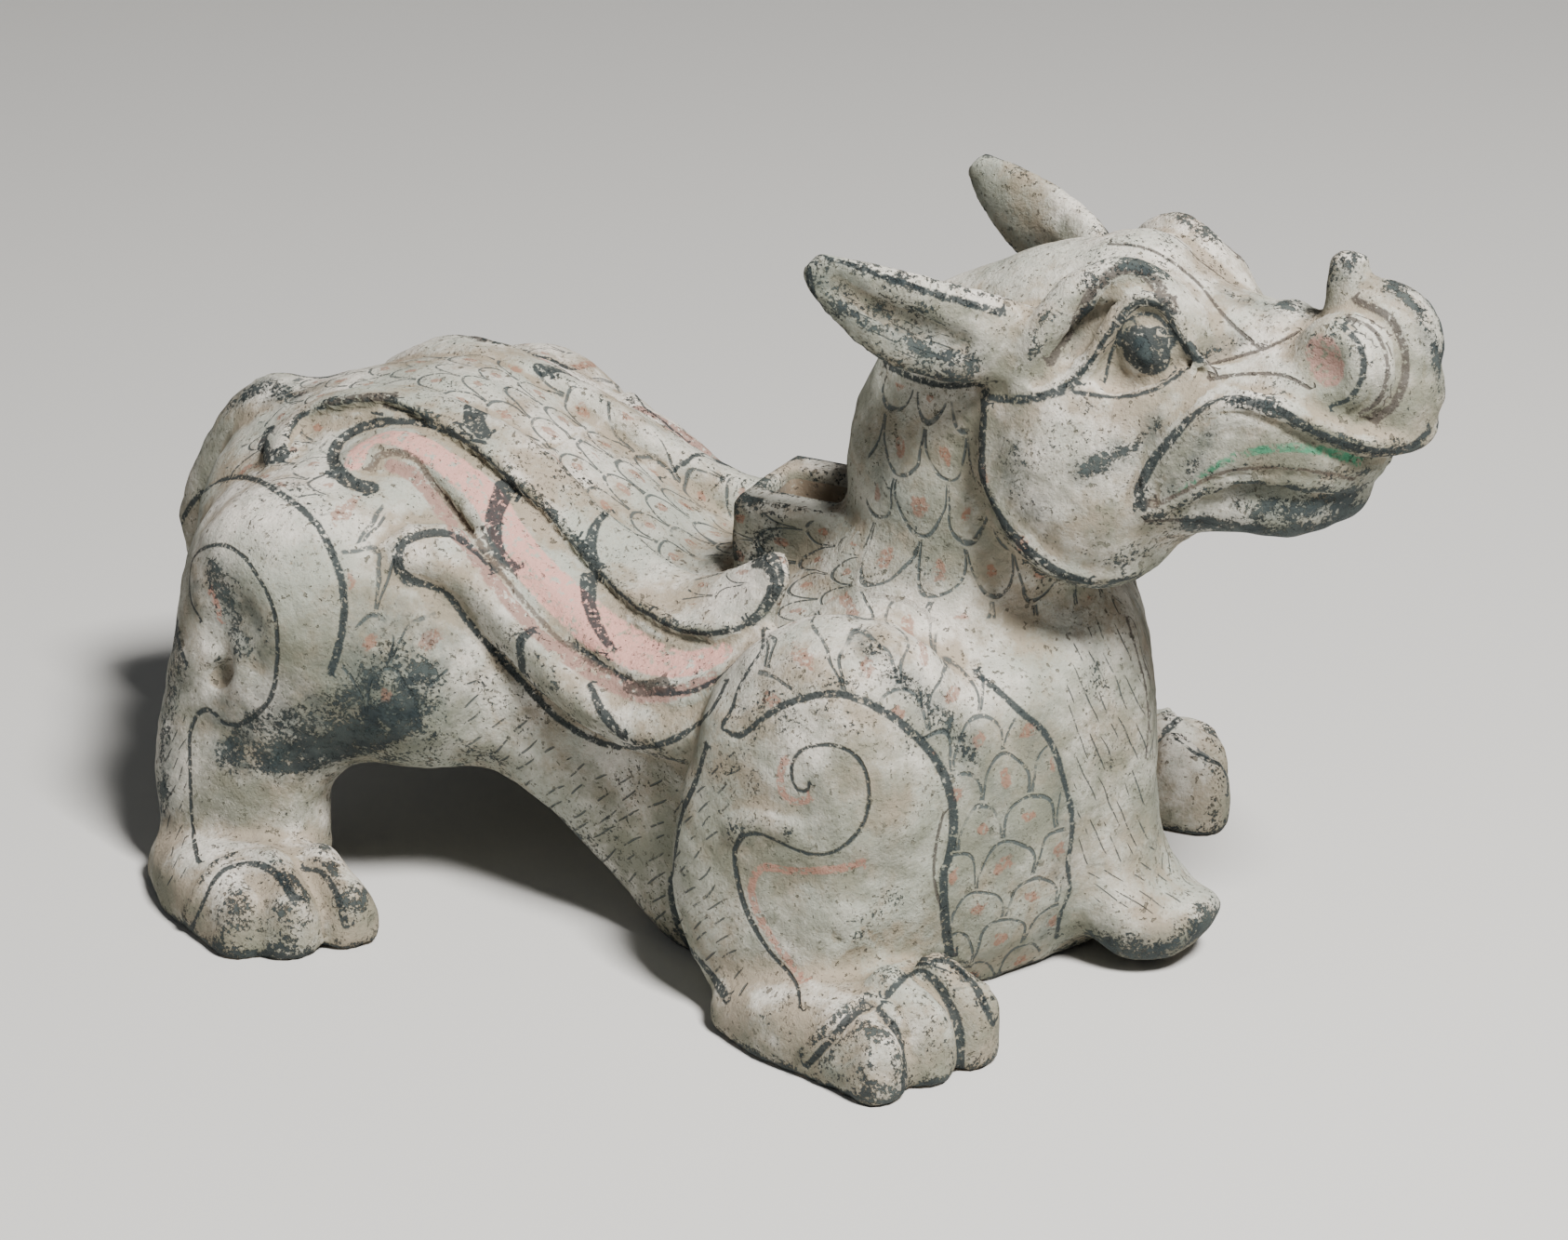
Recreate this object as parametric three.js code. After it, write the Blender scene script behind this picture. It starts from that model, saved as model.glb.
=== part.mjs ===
import * as THREE from 'three';

// A crouching winged beast in fired earthenware, one piece.
// Millimetres, +X towards the head, +Y towards the beast's left, +Z up, standing plane z = 0.
// The body is the surface where a distance function is zero. The function is made of named
// masses: balls, tubes, swept limbs, a lofted body and wing bands, joined with a rounded
// blend. Every mass is given for the left half and the right half mirrors it.

const STEP = 3.5; // grid step of the surface
const TRIANGLES = 9400; // triangles kept after the small ones are merged
const NOT_ZERO = 1e-6; // stands in for a distance of exactly zero
const FLAT_WITHIN = 0.6; // points this near the standing plane or the rim are made level
const RIM = { height: 151, back: -12, front: 44, halfWidth: 27 };
const LOW = [-278, -159.25, -8]; // corner of the grid
const HIGH = [252, 159.25, 284];

// rounded joining of two distances over a width k
function smin(a, b, k) {
  if (k <= 0) return Math.min(a, b);
  const h = Math.max(k - Math.abs(a - b), 0) / k;
  return Math.min(a, b) - h * h * k * 0.25;
}

// rows of numbers resampled along a smooth curve, n steps between rows
function catmull(rows, n) {
  const first = rows[0].map((v, i) => 2 * v - rows[1][i]);
  const last = rows.at(-1).map((v, i) => 2 * v - rows.at(-2)[i]);
  const p = [first, ...rows, last];
  const out = [];
  for (let i = 1; i < p.length - 2; i++) {
    for (let j = 0; j < n; j++) {
      const t = j / n;
      out.push(p[i].map((b, m) => {
        const [a, c, d] = [p[i - 1][m], p[i + 1][m], p[i + 2][m]];
        const bent = 2 * a - 5 * b + 4 * c - d;
        const turned = 3 * b - a - 3 * c + d;
        return 0.5 * (2 * b + (c - a) * t + bent * t * t + turned * t * t * t);
      }));
    }
  }
  out.push(rows.at(-1));
  return out;
}

// value of column i of sorted rows at x
function lookup(rows, x, i) {
  if (x <= rows[0][0]) return rows[0][i];
  for (let j = 1; j < rows.length; j++) {
    if (x <= rows[j][0]) {
      const t = (x - rows[j - 1][0]) / (rows[j][0] - rows[j - 1][0]);
      return rows[j - 1][i] + t * (rows[j][i] - rows[j - 1][i]);
    }
  }
  return rows.at(-1)[i];
}

// box around rows whose reach is given per row
function reachBox(rows, reach) {
  const box = new THREE.Box3();
  for (const r of rows) {
    const c = new THREE.Vector3(r[0], r[1], r[2]);
    box.expandByPoint(c.clone().addScalar(reach(r)));
    box.expandByPoint(c.clone().addScalar(-reach(r)));
  }
  return box;
}

const ENDLESS = 1e4;
const everywhere = () =>
  new THREE.Box3(new THREE.Vector3().setScalar(-ENDLESS), new THREE.Vector3().setScalar(ENDLESS));

// ellipsoid: centre, half axes, turn about Z and lift of +X in degrees
function ball(c, r, yaw = 0, pitch = 0) {
  const m = new THREE.Matrix4().makeRotationZ(THREE.MathUtils.degToRad(yaw));
  m.multiply(new THREE.Matrix4().makeRotationY(-THREE.MathUtils.degToRad(pitch)));
  const e = m.clone().transpose().elements;
  const least = Math.min(...r);
  const most = Math.max(...r);
  const at = (x, y, z) => {
    const [dx, dy, dz] = [x - c[0], y - c[1], z - c[2]];
    const u = (e[0] * dx + e[4] * dy + e[8] * dz) / r[0];
    const v = (e[1] * dx + e[5] * dy + e[9] * dz) / r[1];
    const w = (e[2] * dx + e[6] * dy + e[10] * dz) / r[2];
    const a = Math.hypot(u, v, w);
    const g = Math.hypot(u / r[0], v / r[1], w / r[2]);
    return Math.max(a * (a - 1) / Math.max(g, 1e-6), -least);
  };
  return { at, box: reachBox([c], () => most) };
}

// flattened limb: rows of x y z, half width along a side direction, half thickness, side direction
function sweep(rows, n = 2) {
  const st = catmull(rows, 4);
  const parts = [];
  for (let i = 0; i + 1 < st.length; i++) {
    const A = st[i];
    const B = st[i + 1];
    const d = new THREE.Vector3(B[0] - A[0], B[1] - A[1], B[2] - A[2]);
    const T = d.clone().normalize();
    const U = new THREE.Vector3(A[5] + B[5], A[6] + B[6], A[7] + B[7]).multiplyScalar(0.5);
    U.addScaledVector(T, -U.dot(T)).normalize();
    const V = T.clone().cross(U);
    parts.push({ A, B, d, T, U, V, l2: d.lengthSq() });
  }
  const at = (x, y, z) => {
    let best = 1e3;
    for (const { A, B, d, T, U, V, l2 } of parts) {
      let [qx, qy, qz] = [x - A[0], y - A[1], z - A[2]];
      const h = Math.min(Math.max((qx * d.x + qy * d.y + qz * d.z) / l2, 0), 1);
      qx -= h * d.x;
      qy -= h * d.y;
      qz -= h * d.z;
      const a = A[3] + (B[3] - A[3]) * h;
      const b = A[4] + (B[4] - A[4]) * h;
      const c = Math.min(a, b);
      const u = Math.abs(qx * U.x + qy * U.y + qz * U.z) / a;
      const v = Math.abs(qx * V.x + qy * V.y + qz * V.z) / b;
      const w = Math.abs(qx * T.x + qy * T.y + qz * T.z) / c;
      const m = Math.max(u ** n + v ** n + w ** n, 1e-9) ** (1 / n);
      const g = Math.hypot(u ** (n - 1) / a, v ** (n - 1) / b, w ** (n - 1) / c) * m ** (1 - n);
      best = Math.min(best, Math.max((m - 1) / Math.max(g, 1e-4), -c));
    }
    return best;
  };
  return { at, box: reachBox(st, (r) => Math.max(r[3], r[4])) };
}

// round limb: rows of x y z radius
function tube(rows) {
  const st = rows.length > 2 ? catmull(rows, 3) : rows;
  const at = (x, y, z) => {
    let best = 1e3;
    for (let i = 0; i + 1 < st.length; i++) {
      const A = st[i];
      const B = st[i + 1];
      const [dx, dy, dz] = [B[0] - A[0], B[1] - A[1], B[2] - A[2]];
      const [qx, qy, qz] = [x - A[0], y - A[1], z - A[2]];
      const h = Math.min(Math.max((qx * dx + qy * dy + qz * dz) / (dx * dx + dy * dy + dz * dz), 0), 1);
      const r = Math.hypot(qx - h * dx, qy - h * dy, qz - h * dz) - (A[3] + (B[3] - A[3]) * h);
      best = Math.min(best, r);
    }
    return best;
  };
  return { at, box: reachBox(st, (r) => r[3]) };
}

// claws: rows of knuckle x y z, half width, half height, then the same for the tip;
// a crease between neighbours
function claws(rows) {
  const list = rows.map((r) => sweep([[...r.slice(0, 5), 0, 1, 0], [...r.slice(5), 0, 1, 0]], 2.2));
  const at = (x, y, z) => list.reduce((d, t) => smin(d, t.at(x, y, z), 1.5), 1e3);
  return { at, box: list.reduce((b, t) => b.union(t.box), new THREE.Box3()) };
}

// body lofted along x: rows of x, centre height, rise, drop, half width; fullness above and below
function loft(rows, nTop, nBottom) {
  const tab = catmull(rows, 4);
  const at = (x, y, z) => {
    const [centre, rise, drop, half] = [1, 2, 3, 4].map((i) => lookup(tab, x, i));
    const r = z > centre ? rise : drop;
    const n = z > centre ? nTop : nBottom;
    const u = Math.abs(y) / half;
    const v = Math.abs(z - centre) / r;
    const m = Math.max(u ** n + v ** n, 1e-9) ** (1 / n);
    const g = Math.hypot(u ** (n - 1) / half, v ** (n - 1) / r) * m ** (1 - n);
    const d = Math.max((m - 1) / Math.max(g, 1e-4), -Math.min(half, r));
    const ends = Math.max(tab[0][0] - x, x - tab.at(-1)[0]);
    return -smin(-d, -ends, 6);
  };
  return { at, box: everywhere() };
}

// wing band: its rows for sweep, the upper edge sunk and the lower edge lifted off the body
function band(rows, sink, lift) {
  const vec = (r, i) => new THREE.Vector3(r[i], r[i + 1], r[i + 2]);
  const mid = rows.map((r) => vec(r, 0).add(vec(r, 3)).multiplyScalar(0.5));
  const outward = (n) => n.multiplyScalar((n.y * 0.6 + n.z * 0.8 < 0 ? -1 : 1) / n.length());
  return rows.map((r, i) => {
    const last = rows.length - 1;
    const T = mid[Math.min(i + 1, last)].clone().sub(mid[Math.max(i - 1, 0)]);
    const n = outward(T.clone().cross(vec(r, 3).sub(vec(r, 0))));
    const a = vec(r, 0).addScaledVector(n, -sink);
    const b = vec(r, 3).addScaledVector(n, lift);
    const side = b.clone().sub(a);
    const w = side.length() / 2;
    side.normalize();
    const face = outward(T.clone().cross(side));
    const c = a.add(b).multiplyScalar(0.5).addScaledVector(face, -0.9 * r[6]);
    return [c.x, c.y, c.z, w + 1, r[6], side.x, side.y, side.z];
  });
}

// block with rounded edges: centre, half sizes, edge radius
function box(c, h, r) {
  const at = (x, y, z) => {
    const q = [Math.abs(x - c[0]) - h[0] + r, Math.abs(y - c[1]) - h[1] + r, Math.abs(z - c[2]) - h[2] + r];
    const out = Math.hypot(Math.max(q[0], 0), Math.max(q[1], 0), Math.max(q[2], 0));
    return out + Math.min(Math.max(...q), 0) - r;
  };
  return { at, box: reachBox([c], () => Math.max(...h)) };
}

// chest front: a keel on the middle plane with both sides falling back from it
function prow(keel) {
  const edge = catmull(keel, 4);
  const at = (x, y, z) => {
    const s = Math.sqrt(y * y + 25) - 5;
    return (x - lookup(edge, z, 1) + 0.42 * s + 0.0012 * s * s) / 1.12;
  };
  return { at, box: everywhere() };
}

// flat standing plane
function floor() {
  return { at: (x, y, z) => -z, box: everywhere() };
}

// first mass hollowed by the second
function carved(a, b, k) {
  return { at: (x, y, z) => -smin(-a.at(x, y, z), b.at(x, y, z), k), box: a.box };
}

const add = (mass, k) => ({ kind: 'add', mass, k });
const cut = (mass, k) => ({ kind: 'cut', mass, k });
const limit = (mass, k) => ({ kind: 'limit', mass, k });

// distance of a list of steps at a point; a mass is passed over where it is too far to matter
function run(steps, x, y, z) {
  let d = 1e3;
  for (const { kind, mass, k } of steps) {
    const { min, max } = mass.box;
    const pad = 16 + k;
    if (x < min.x - pad || x > max.x + pad || y < min.y - pad || y > max.y + pad) continue;
    if (z < min.z - pad || z > max.z + pad) continue;
    const f = mass.at(x, y, z);
    if (kind === 'add') d = smin(d, f, k);
    else if (kind === 'cut') d = -smin(-d, f, k);
    else d = -smin(-d, -f, k);
  }
  return d;
}

// several steps taken as one mass
function group(steps) {
  const reach = new THREE.Box3();
  for (const s of steps) if (s.kind === 'add') reach.union(s.mass.box);
  return { at: (x, y, z) => run(steps, x, y, z), box: reach };
}

// Body sections along x: x, centre height, rise to the back, drop to the belly, half width
const TORSO = [[-228, 106, 24, 22, 24], [-217, 106, 37, 30, 50], [-198, 106, 47, 42, 67],
  [-175, 104, 58, 50, 79], [-150, 100, 68, 52, 86],
  [-128, 96, 73, 48, 86], [-105, 88, 72, 39, 83], [-80, 82, 65, 37, 80], [-57, 76, 58, 44, 78],
  [-44, 73, 54, 55, 78], [-30, 70, 51, 64, 78],
  [0, 66, 58, 86, 83], [30, 66, 68, 90, 90], [60, 64, 72, 90, 94], [95, 62, 72, 90, 96],
  [120, 60, 70, 90, 92], [142, 60, 66, 90, 84], [156, 58, 60, 90, 70]];
// Front keel of the chest: height, x
const KEEL = [[-20, 112], [0, 121], [10, 128], [22, 135], [40, 139], [60, 140], [93, 138.5], [113, 134],
  [133, 125], [160, 107]];
// Wing bands: upper edge x y z, lower edge x y z, half thickness
const UPPER_BAND = [[17, 54, 145, 29, 64, 141, 4.5], [2, 49, 137, 15, 71, 125, 8],
  [-15, 44, 129, -5, 69, 118, 10], [-31, 40, 130, -22, 62, 119, 9.5],
  [-48, 34, 136, -43, 52, 123, 9], [-67, 30, 146, -64, 45, 134, 9], [-88, 27, 158, -82, 41, 146, 9],
  [-110, 24, 166, -106, 37, 158, 8.5],
  [-138, 20, 169.5, -134, 34, 166, 8], [-163, 19, 165, -158, 35, 166, 7],
  [-184, 28, 156, -176, 38, 159, 6.5], [-190, 42, 150, -178, 48, 154, 6.5],
  [-182, 55, 149, -171, 59, 151, 6.5]];
const MIDDLE_BAND = [[24, 66, 128, 29, 77, 119, 4], [10, 66, 121, 20, 84, 108, 9],
  [-8, 64, 117, -2, 86, 101, 10], [-26, 58, 117, -24, 80, 104, 9],
  [-48, 46, 125, -52, 69, 117, 9.5], [-78, 35, 141, -80, 62, 134, 9.5],
  [-104, 30, 157, -108, 54, 149, 9], [-127, 35, 163, -126, 54, 155, 8],
  [-146, 50, 158, -139, 61, 153, 7], [-150, 64, 152, -140, 69, 149, 6.5],
  [-143, 76, 146, -135, 77, 145, 6]];
const LOWER_BAND = [[28, 82, 114, 31, 90, 103, 4], [10, 80, 106, 12, 93, 90, 8],
  [-8, 82, 101, -9, 92, 86, 9], [-30, 76, 104, -36, 89, 92, 9],
  [-56, 66, 116, -61, 83, 109, 9], [-80, 62, 134, -86, 81, 125, 9.5],
  [-98, 70, 141, -101, 84, 129, 9.5], [-106, 80, 139, -108, 87, 131, 7.5]];
// Head, built on the middle plane
const HEAD = [
  // skull and forehead
  add(ball([108, 0, 209], [40, 39, 37]), 0),
  add(sweep([[66, 0, 208, 28, 21, 0, 1, 0], [86, 0, 222, 30, 21, 0, 1, 0],
      [106, 0, 232, 28, 22, 0, 1, 0], [120, 0, 234, 24, 22, 0, 1, 0]], 2), 8),
  add(ball([129, 0, 234], [24, 27, 27]), 6),
  // jowls
  add(ball([124, 16, 181], [34, 33, 39]), 8),
  add(ball([119, 29, 187], [31, 21, 34]), 6),
  add(ball([115, 24, 204], [31, 19, 22]), 12),
  add(ball([145, 27, 201], [22, 14, 22]), 9),
  // snout, nasal bridge and cheeks
  add(sweep([[138, 0, 206, 36, 24, 0, 1, 0], [158, 0, 210, 36, 23, 0, 1, 0],
      [178, 0, 217, 33, 19, 0, 1, 0], [200, 0, 223, 27, 17, 0, 1, 0], [216, 0, 222, 19, 17, 0, 1, 0],
      [223, 0, 221, 12, 16, 0, 1, 0]], 2.2), 5),
  add(sweep([[140, 0, 236, 22, 19, 0, 1, 0], [158, 0, 233, 18, 13.5, 0, 1, 0],
      [182, 0, 231, 17, 11.5, 0, 1, 0], [198, 0, 231, 14, 10, 0, 1, 0]], 2), 5),
  add(ball([163, 24, 207], [22, 15, 15]), 6),
  // lower jaw
  add(sweep([[128, 0, 176, 41, 22, 0, 1, 0], [150, 0, 180, 38, 17, 0, 1, 0],
      [170, 0, 184, 34, 16, 0, 1, 0], [188, 0, 185, 28, 17, 0, 1, 0],
      [199, 0, 187, 15, 14, 0, 1, 0]], 2.4), 5),
  // mouth set back under the upper lip
  cut(sweep([[157, 45, 189, 4, 5, 0, 0, 1], [166, 46, 202, 6, 8, 0, 0, 1],
      [176, 47, 210, 7, 11, 0, 0, 1], [190, 44, 210, 7, 12, 0, 0, 1], [204, 39, 206, 6, 12, 0, 0, 1],
      [220, 29, 203, 4, 14, 0, 0, 1], [236, 4, 202, 4.5, 20, 0, 0, 1]], 2), 2),
  // gum band, upper lip roll and lower lip roll
  add(sweep([[157, 38, 188, 4, 3, 0, 0, 1], [165, 36, 197, 8, 4.5, 0, 0, 1],
      [176, 34, 207, 11, 5, 0, 0, 1], [190, 30.5, 209, 11.5, 5.5, 0, 0, 1],
      [203, 24, 206, 10, 5.5, 0, 0, 1], [213, 12, 203, 8.5, 5.5, 0, 0, 1],
      [216, 0, 202, 8.5, 5.5, 0, 0, 1]], 2.2), 2),
  add(tube([[151, 39, 181, 2.5], [157, 40, 194, 3.5], [166, 39, 210, 4], [176, 37, 219, 4.5],
      [187, 34, 221, 4.5], [200, 30, 217, 4.5], [213, 23, 211, 4.5], [222, 15, 208, 5],
      [228, 6, 208.5, 5.5], [229, 0, 209, 5.5]]), 2.5),
  add(tube([[155, 39, 182, 2.5], [168, 37, 190, 2.5], [184, 33, 196, 2.5], [198, 27, 195, 3],
      [208, 17, 193, 3.5], [212, 6, 192, 4], [212, 0, 192, 4]]), 2),
  // brow ridge and the furrow in front of it
  add(tube([[107, 39, 221, 5], [112, 38, 234, 6], [118, 33, 244, 6.5], [126, 28, 251, 7],
      [135, 24, 254, 7], [144, 21, 251, 6.5], [152, 19, 244, 5.5], [160, 19, 237, 4]]), 4),
  cut(tube([[111, 44, 219, 2.5], [118, 42, 231, 3.2], [125, 40, 243, 3.6], [132, 37, 251, 3.6],
      [139, 33.5, 256, 3.4], [146, 30, 254.5, 3]]), 2.5),
  // eye: bulge, lid opening, eyeball
  add(ball([143, 17, 231], [21, 15.5, 19], 0, 35), 3),
  cut(ball([145, 36, 231.5], [18, 8.5, 14.5], 0, 40), 1.5),
  add(ball([145, 20, 231.5], [14.5, 13.5, 12.5], 0, 40), 0.8),
  // upper and lower lid lines
  add(tube([[106, 42.5, 216, 2.5], [118, 39.5, 217, 2.8], [127, 35.5, 226, 3.2], [132, 32.5, 236, 3.4],
      [138, 29.5, 245, 3.6], [145, 27.5, 249.5, 3.6], [152.5, 26, 246, 3.4], [158, 26.5, 238, 3],
      [163, 28, 231.5, 2.6], [169, 27, 229, 2]]), 2),
  add(tube([[110, 43, 211, 2], [122, 40.5, 214.5, 2.2], [136, 37.5, 214.5, 2.6], [149, 34, 219, 2.6],
      [161, 30, 227, 2]]), 2),
  // nose curl with its upright tip and the notch before it
  add(ball([214, 0, 238], [21, 15, 20]), 3),
  add(tube([[208, 0, 243, 10], [203.5, 0, 252, 8], [202, 0, 259.5, 5.8]]), 2.5),
  add(tube([[201, 0, 261, 4.8], [206.5, 0, 262.5, 3.4]]), 1.5),
  cut(ball([214.5, 0, 263.5], [4, 30, 5.5]), 1.5),
  // nostril
  add(ball([208, 15, 233], [18, 11, 17]), 3),
  cut(ball([204.5, 28, 235.5], [10, 6, 11.5]), 1.5),
  // bumps of the bridge
  add(ball([168, 0, 238], [5, 14, 5]), 3),
  add(ball([182, 0, 239], [6, 14, 6]), 3)];
// Whole beast, one fired piece
const BEAST = [
  add(loft(TORSO, 1.8, 4.5), 0),
  // rump and knee
  add(ball([-148, 66, 98], [58, 44, 52]), 14),
  add(ball([-114, 70, 84], [38, 32, 34], 0, -20), 14),
  // lower hind leg
  add(sweep([[-158, 84, 86, 34, 24, 1, 0, 0], [-169, 89, 62, 34, 21, 1, 0, 0],
      [-173.5, 92, 38, 33, 21, 1, 0, 0], [-171, 93, 14, 31, 22, 1, 0, 0]], 2.4), 18),
  // haunch disc, hock dent and hock fold
  add(ball([-149, 80, 107], [45, 34, 43], -6), 2),
  cut(ball([-166, 120, 106], [22, 12, 27], 0, -20), 5),
  cut(ball([-168, 116, 87], [6, 13, 11], 0, -35), 2.5),
  add(tube([[-198, 84, 60, 8], [-193, 92, 74, 8], [-184, 101, 83, 7], [-176, 105, 88, 5],
      [-170, 107, 92, 3.5]]), 4),
  add(tube([[-158, 108, 96, 5], [-157, 109, 86, 5], [-160, 108, 78, 4.5]]), 5),
  // shoulder and foreleg
  add(ball([62, 76, 90], [50, 34, 48]), 10),
  add(sweep([[58, 84, 84, 45, 27, 1, 0, 0], [54, 88, 62, 47, 26, 1, 0, 0],
      [55, 90, 42, 48, 26, 1, 0, 0], [63, 92, 22, 42, 26, 1, 0, 0],
      [68, 93, 8, 36, 26, 1, 0, 0]], 2.8), 6),
  limit(prow(KEEL), 10),
  // neck
  add(sweep([[62, 0, 110, 56, 54, 0, 1, 0], [72, 0, 140, 44, 46, 0, 1, 0],
      [76, 0, 170, 40, 50, 0, 1, 0], [86, 0, 200, 38, 46, 0, 1, 0]], 2), 14),
  // tail with its knob
  add(tube([[-196, 0, 130, 18], [-212, 0, 137, 17], [-230, 0, 119, 16], [-241, 0, 92, 15],
      [-238, 0, 62, 12], [-230, 0, 44, 9]]), 4),
  add(ball([-249, 3, 94], [8, 8, 8]), 3),
  add(group(HEAD), 5),
  // hollow under the jowl and the jowl's rim
  cut(tube([[88, 46, 206, 3.5], [88, 49, 185, 4.5], [96, 53, 168, 5.5], [108, 54, 156, 6],
      [121, 50, 148, 6], [134, 42, 145, 5]]), 3),
  add(tube([[96, 41, 208, 2.5], [96, 43, 187, 3.5], [104, 45.5, 173, 4], [114, 45.5, 163, 4.5],
      [124, 42, 156.5, 4.5], [134, 36, 154, 4], [144, 30, 156, 3.5]]), 3),
  // ears, hollowed on the outer side
  add(carved(sweep([[102, 36, 229, 14, 7, 0, 0, 1], [88, 47, 233, 17, 6.5, 0, 0, 1],
      [70, 55, 238.5, 16.5, 6, 0, 0, 1], [54, 59, 246, 12.5, 5, 0, 0, 1],
      [42, 62, 253.5, 6, 3.5, 0, 0, 1]], 2),
    sweep([[94, 57, 230, 9, 6, 0, 0, 1], [78, 62, 235, 12, 6, 0, 0, 1], [60, 67, 243, 10, 5, 0, 0, 1],
        [48, 69, 250, 5, 4, 0, 0, 1]], 2), 2), 4),
  // wings
  add(sweep(band(LOWER_BAND, 2, 2), 3.5), 1.5),
  add(sweep(band(MIDDLE_BAND, 2.5, 1), 3.5), 0.8),
  add(sweep(band(UPPER_BAND, 0.5, 1), 3.5), 0.8),
  // beard
  add(sweep([[124, 0, 60, 14, 10, 0, 1, 0], [127, 0, 38, 22, 14, 0, 1, 0],
      [136, 0, 20, 26, 16, 0, 1, 0], [149, 0, 15, 21, 12, 0, 1, 0],
      [160, 0, 20, 11, 6, 0, 1, 0]], 2.2), 8),
  // forepaw: foot, then three toes
  add(sweep([[46, 108, 5, 19, 14, 0, 1, 0], [66, 110, 6, 26, 19, 0, 1, 0],
      [86, 112, 6, 29, 23, 0, 1, 0]], 2.8), 6),
  add(claws([[86, 130, 4, 12, 24, 102, 136, 3, 11, 22], [94, 115, 6, 12, 30, 110, 118, 4, 11, 25],
      [104, 100, 6, 11, 30, 119, 101, 4, 10, 25]]), 2),
  // hind paw
  add(sweep([[-182, 105, 3, 20, 18, 0, 1, 0], [-164, 115, 5, 26, 20, 0.3, 1, 0],
      [-148, 121, 5, 28, 22, 0.5, 1, 0]], 2.8), 6),
  add(claws([[-155, 134, 3, 12, 22, -141, 144, 2, 11, 21], [-142, 125, 4, 12, 26, -126, 137, 2, 11, 23],
      [-130, 113, 4, 12, 25, -112, 121, 2, 11, 21]]), 2),
  // post collar and its socket, then the flat standing plane
  add(box([16, 0, 126], [27, 25, 25], 4), 6),
  cut(box([13, 0, 162], [17, 11, 50], 1), 1.5),
  limit(floor(), 3)];

// air that the open air doesn't reach is clay: the outside is followed from a corner of the grid
function fillPockets(value, n, id) {
  const open = new Uint8Array(value.length);
  const next = [0];
  open[0] = 1;
  const hop = [id(1, 0, 0), id(0, 1, 0), id(0, 0, 1)];
  while (next.length) {
    const c = next.pop();
    const at = [Math.floor(c / hop[0]), Math.floor(c / hop[1]) % n[1], c % n[2]];
    for (let m = 0; m < 3; m++) {
      for (const way of [-1, 1]) {
        if (at[m] + way < 0 || at[m] + way >= n[m]) continue;
        const d = c + way * hop[m];
        if (!open[d] && value[d] > 0) {
          open[d] = 1;
          next.push(d);
        }
      }
    }
  }
  for (let c = 0; c < value.length; c++) if (!open[c] && value[c] > 0) value[c] = -0.1;
}

// where clay meets clay only across the diagonal of a square or of a cell, the air between is
// filled, so that the surface never touches itself
function closeTouchingCorners(value, n, id) {
  const hop = [id(1, 0, 0), id(0, 1, 0), id(0, 0, 1)];
  const clay = (c) => value[c] < 0;
  let rounds = 0;
  for (let changed = true; changed; rounds++) {
    changed = false;
    for (let i = 0; i + 1 < n[0]; i++) {
      for (let j = 0; j + 1 < n[1]; j++) {
        for (let k = 0; k + 1 < n[2]; k++) {
          const c = id(i, j, k);
          for (let m = 0; m < 3; m++) {
            const [u, v] = [hop[m], hop[(m + 1) % 3]];
            const square = [clay(c), clay(c + u), clay(c + v), clay(c + u + v)];
            if (square[0] !== square[3] || square[1] !== square[2] || square[0] === square[1]) continue;
            for (const d of square[0] ? [c + u, c + v] : [c, c + u + v]) value[d] = -0.1;
            changed = true;
          }
          const all = [];
          for (let b = 0; b < 8; b++) {
            all.push(c + (b & 1) * hop[0] + ((b >> 1) & 1) * hop[1] + (b >> 2) * hop[2]);
          }
          const filled = all.filter(clay).length;
          for (let b = 0; b < 4; b++) {
            const [p, q] = [all[b], all[7 - b]];
            if (filled === 2 && clay(p) && clay(q)) {
              for (const d of all) value[d] = Math.min(value[d], -0.1);
              changed = true;
            }
            if (filled === 6 && !clay(p) && !clay(q)) {
              value[p] = -0.1;
              changed = true;
            }
          }
        }
      }
    }
  }
  return rounds > 1;
}

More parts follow.
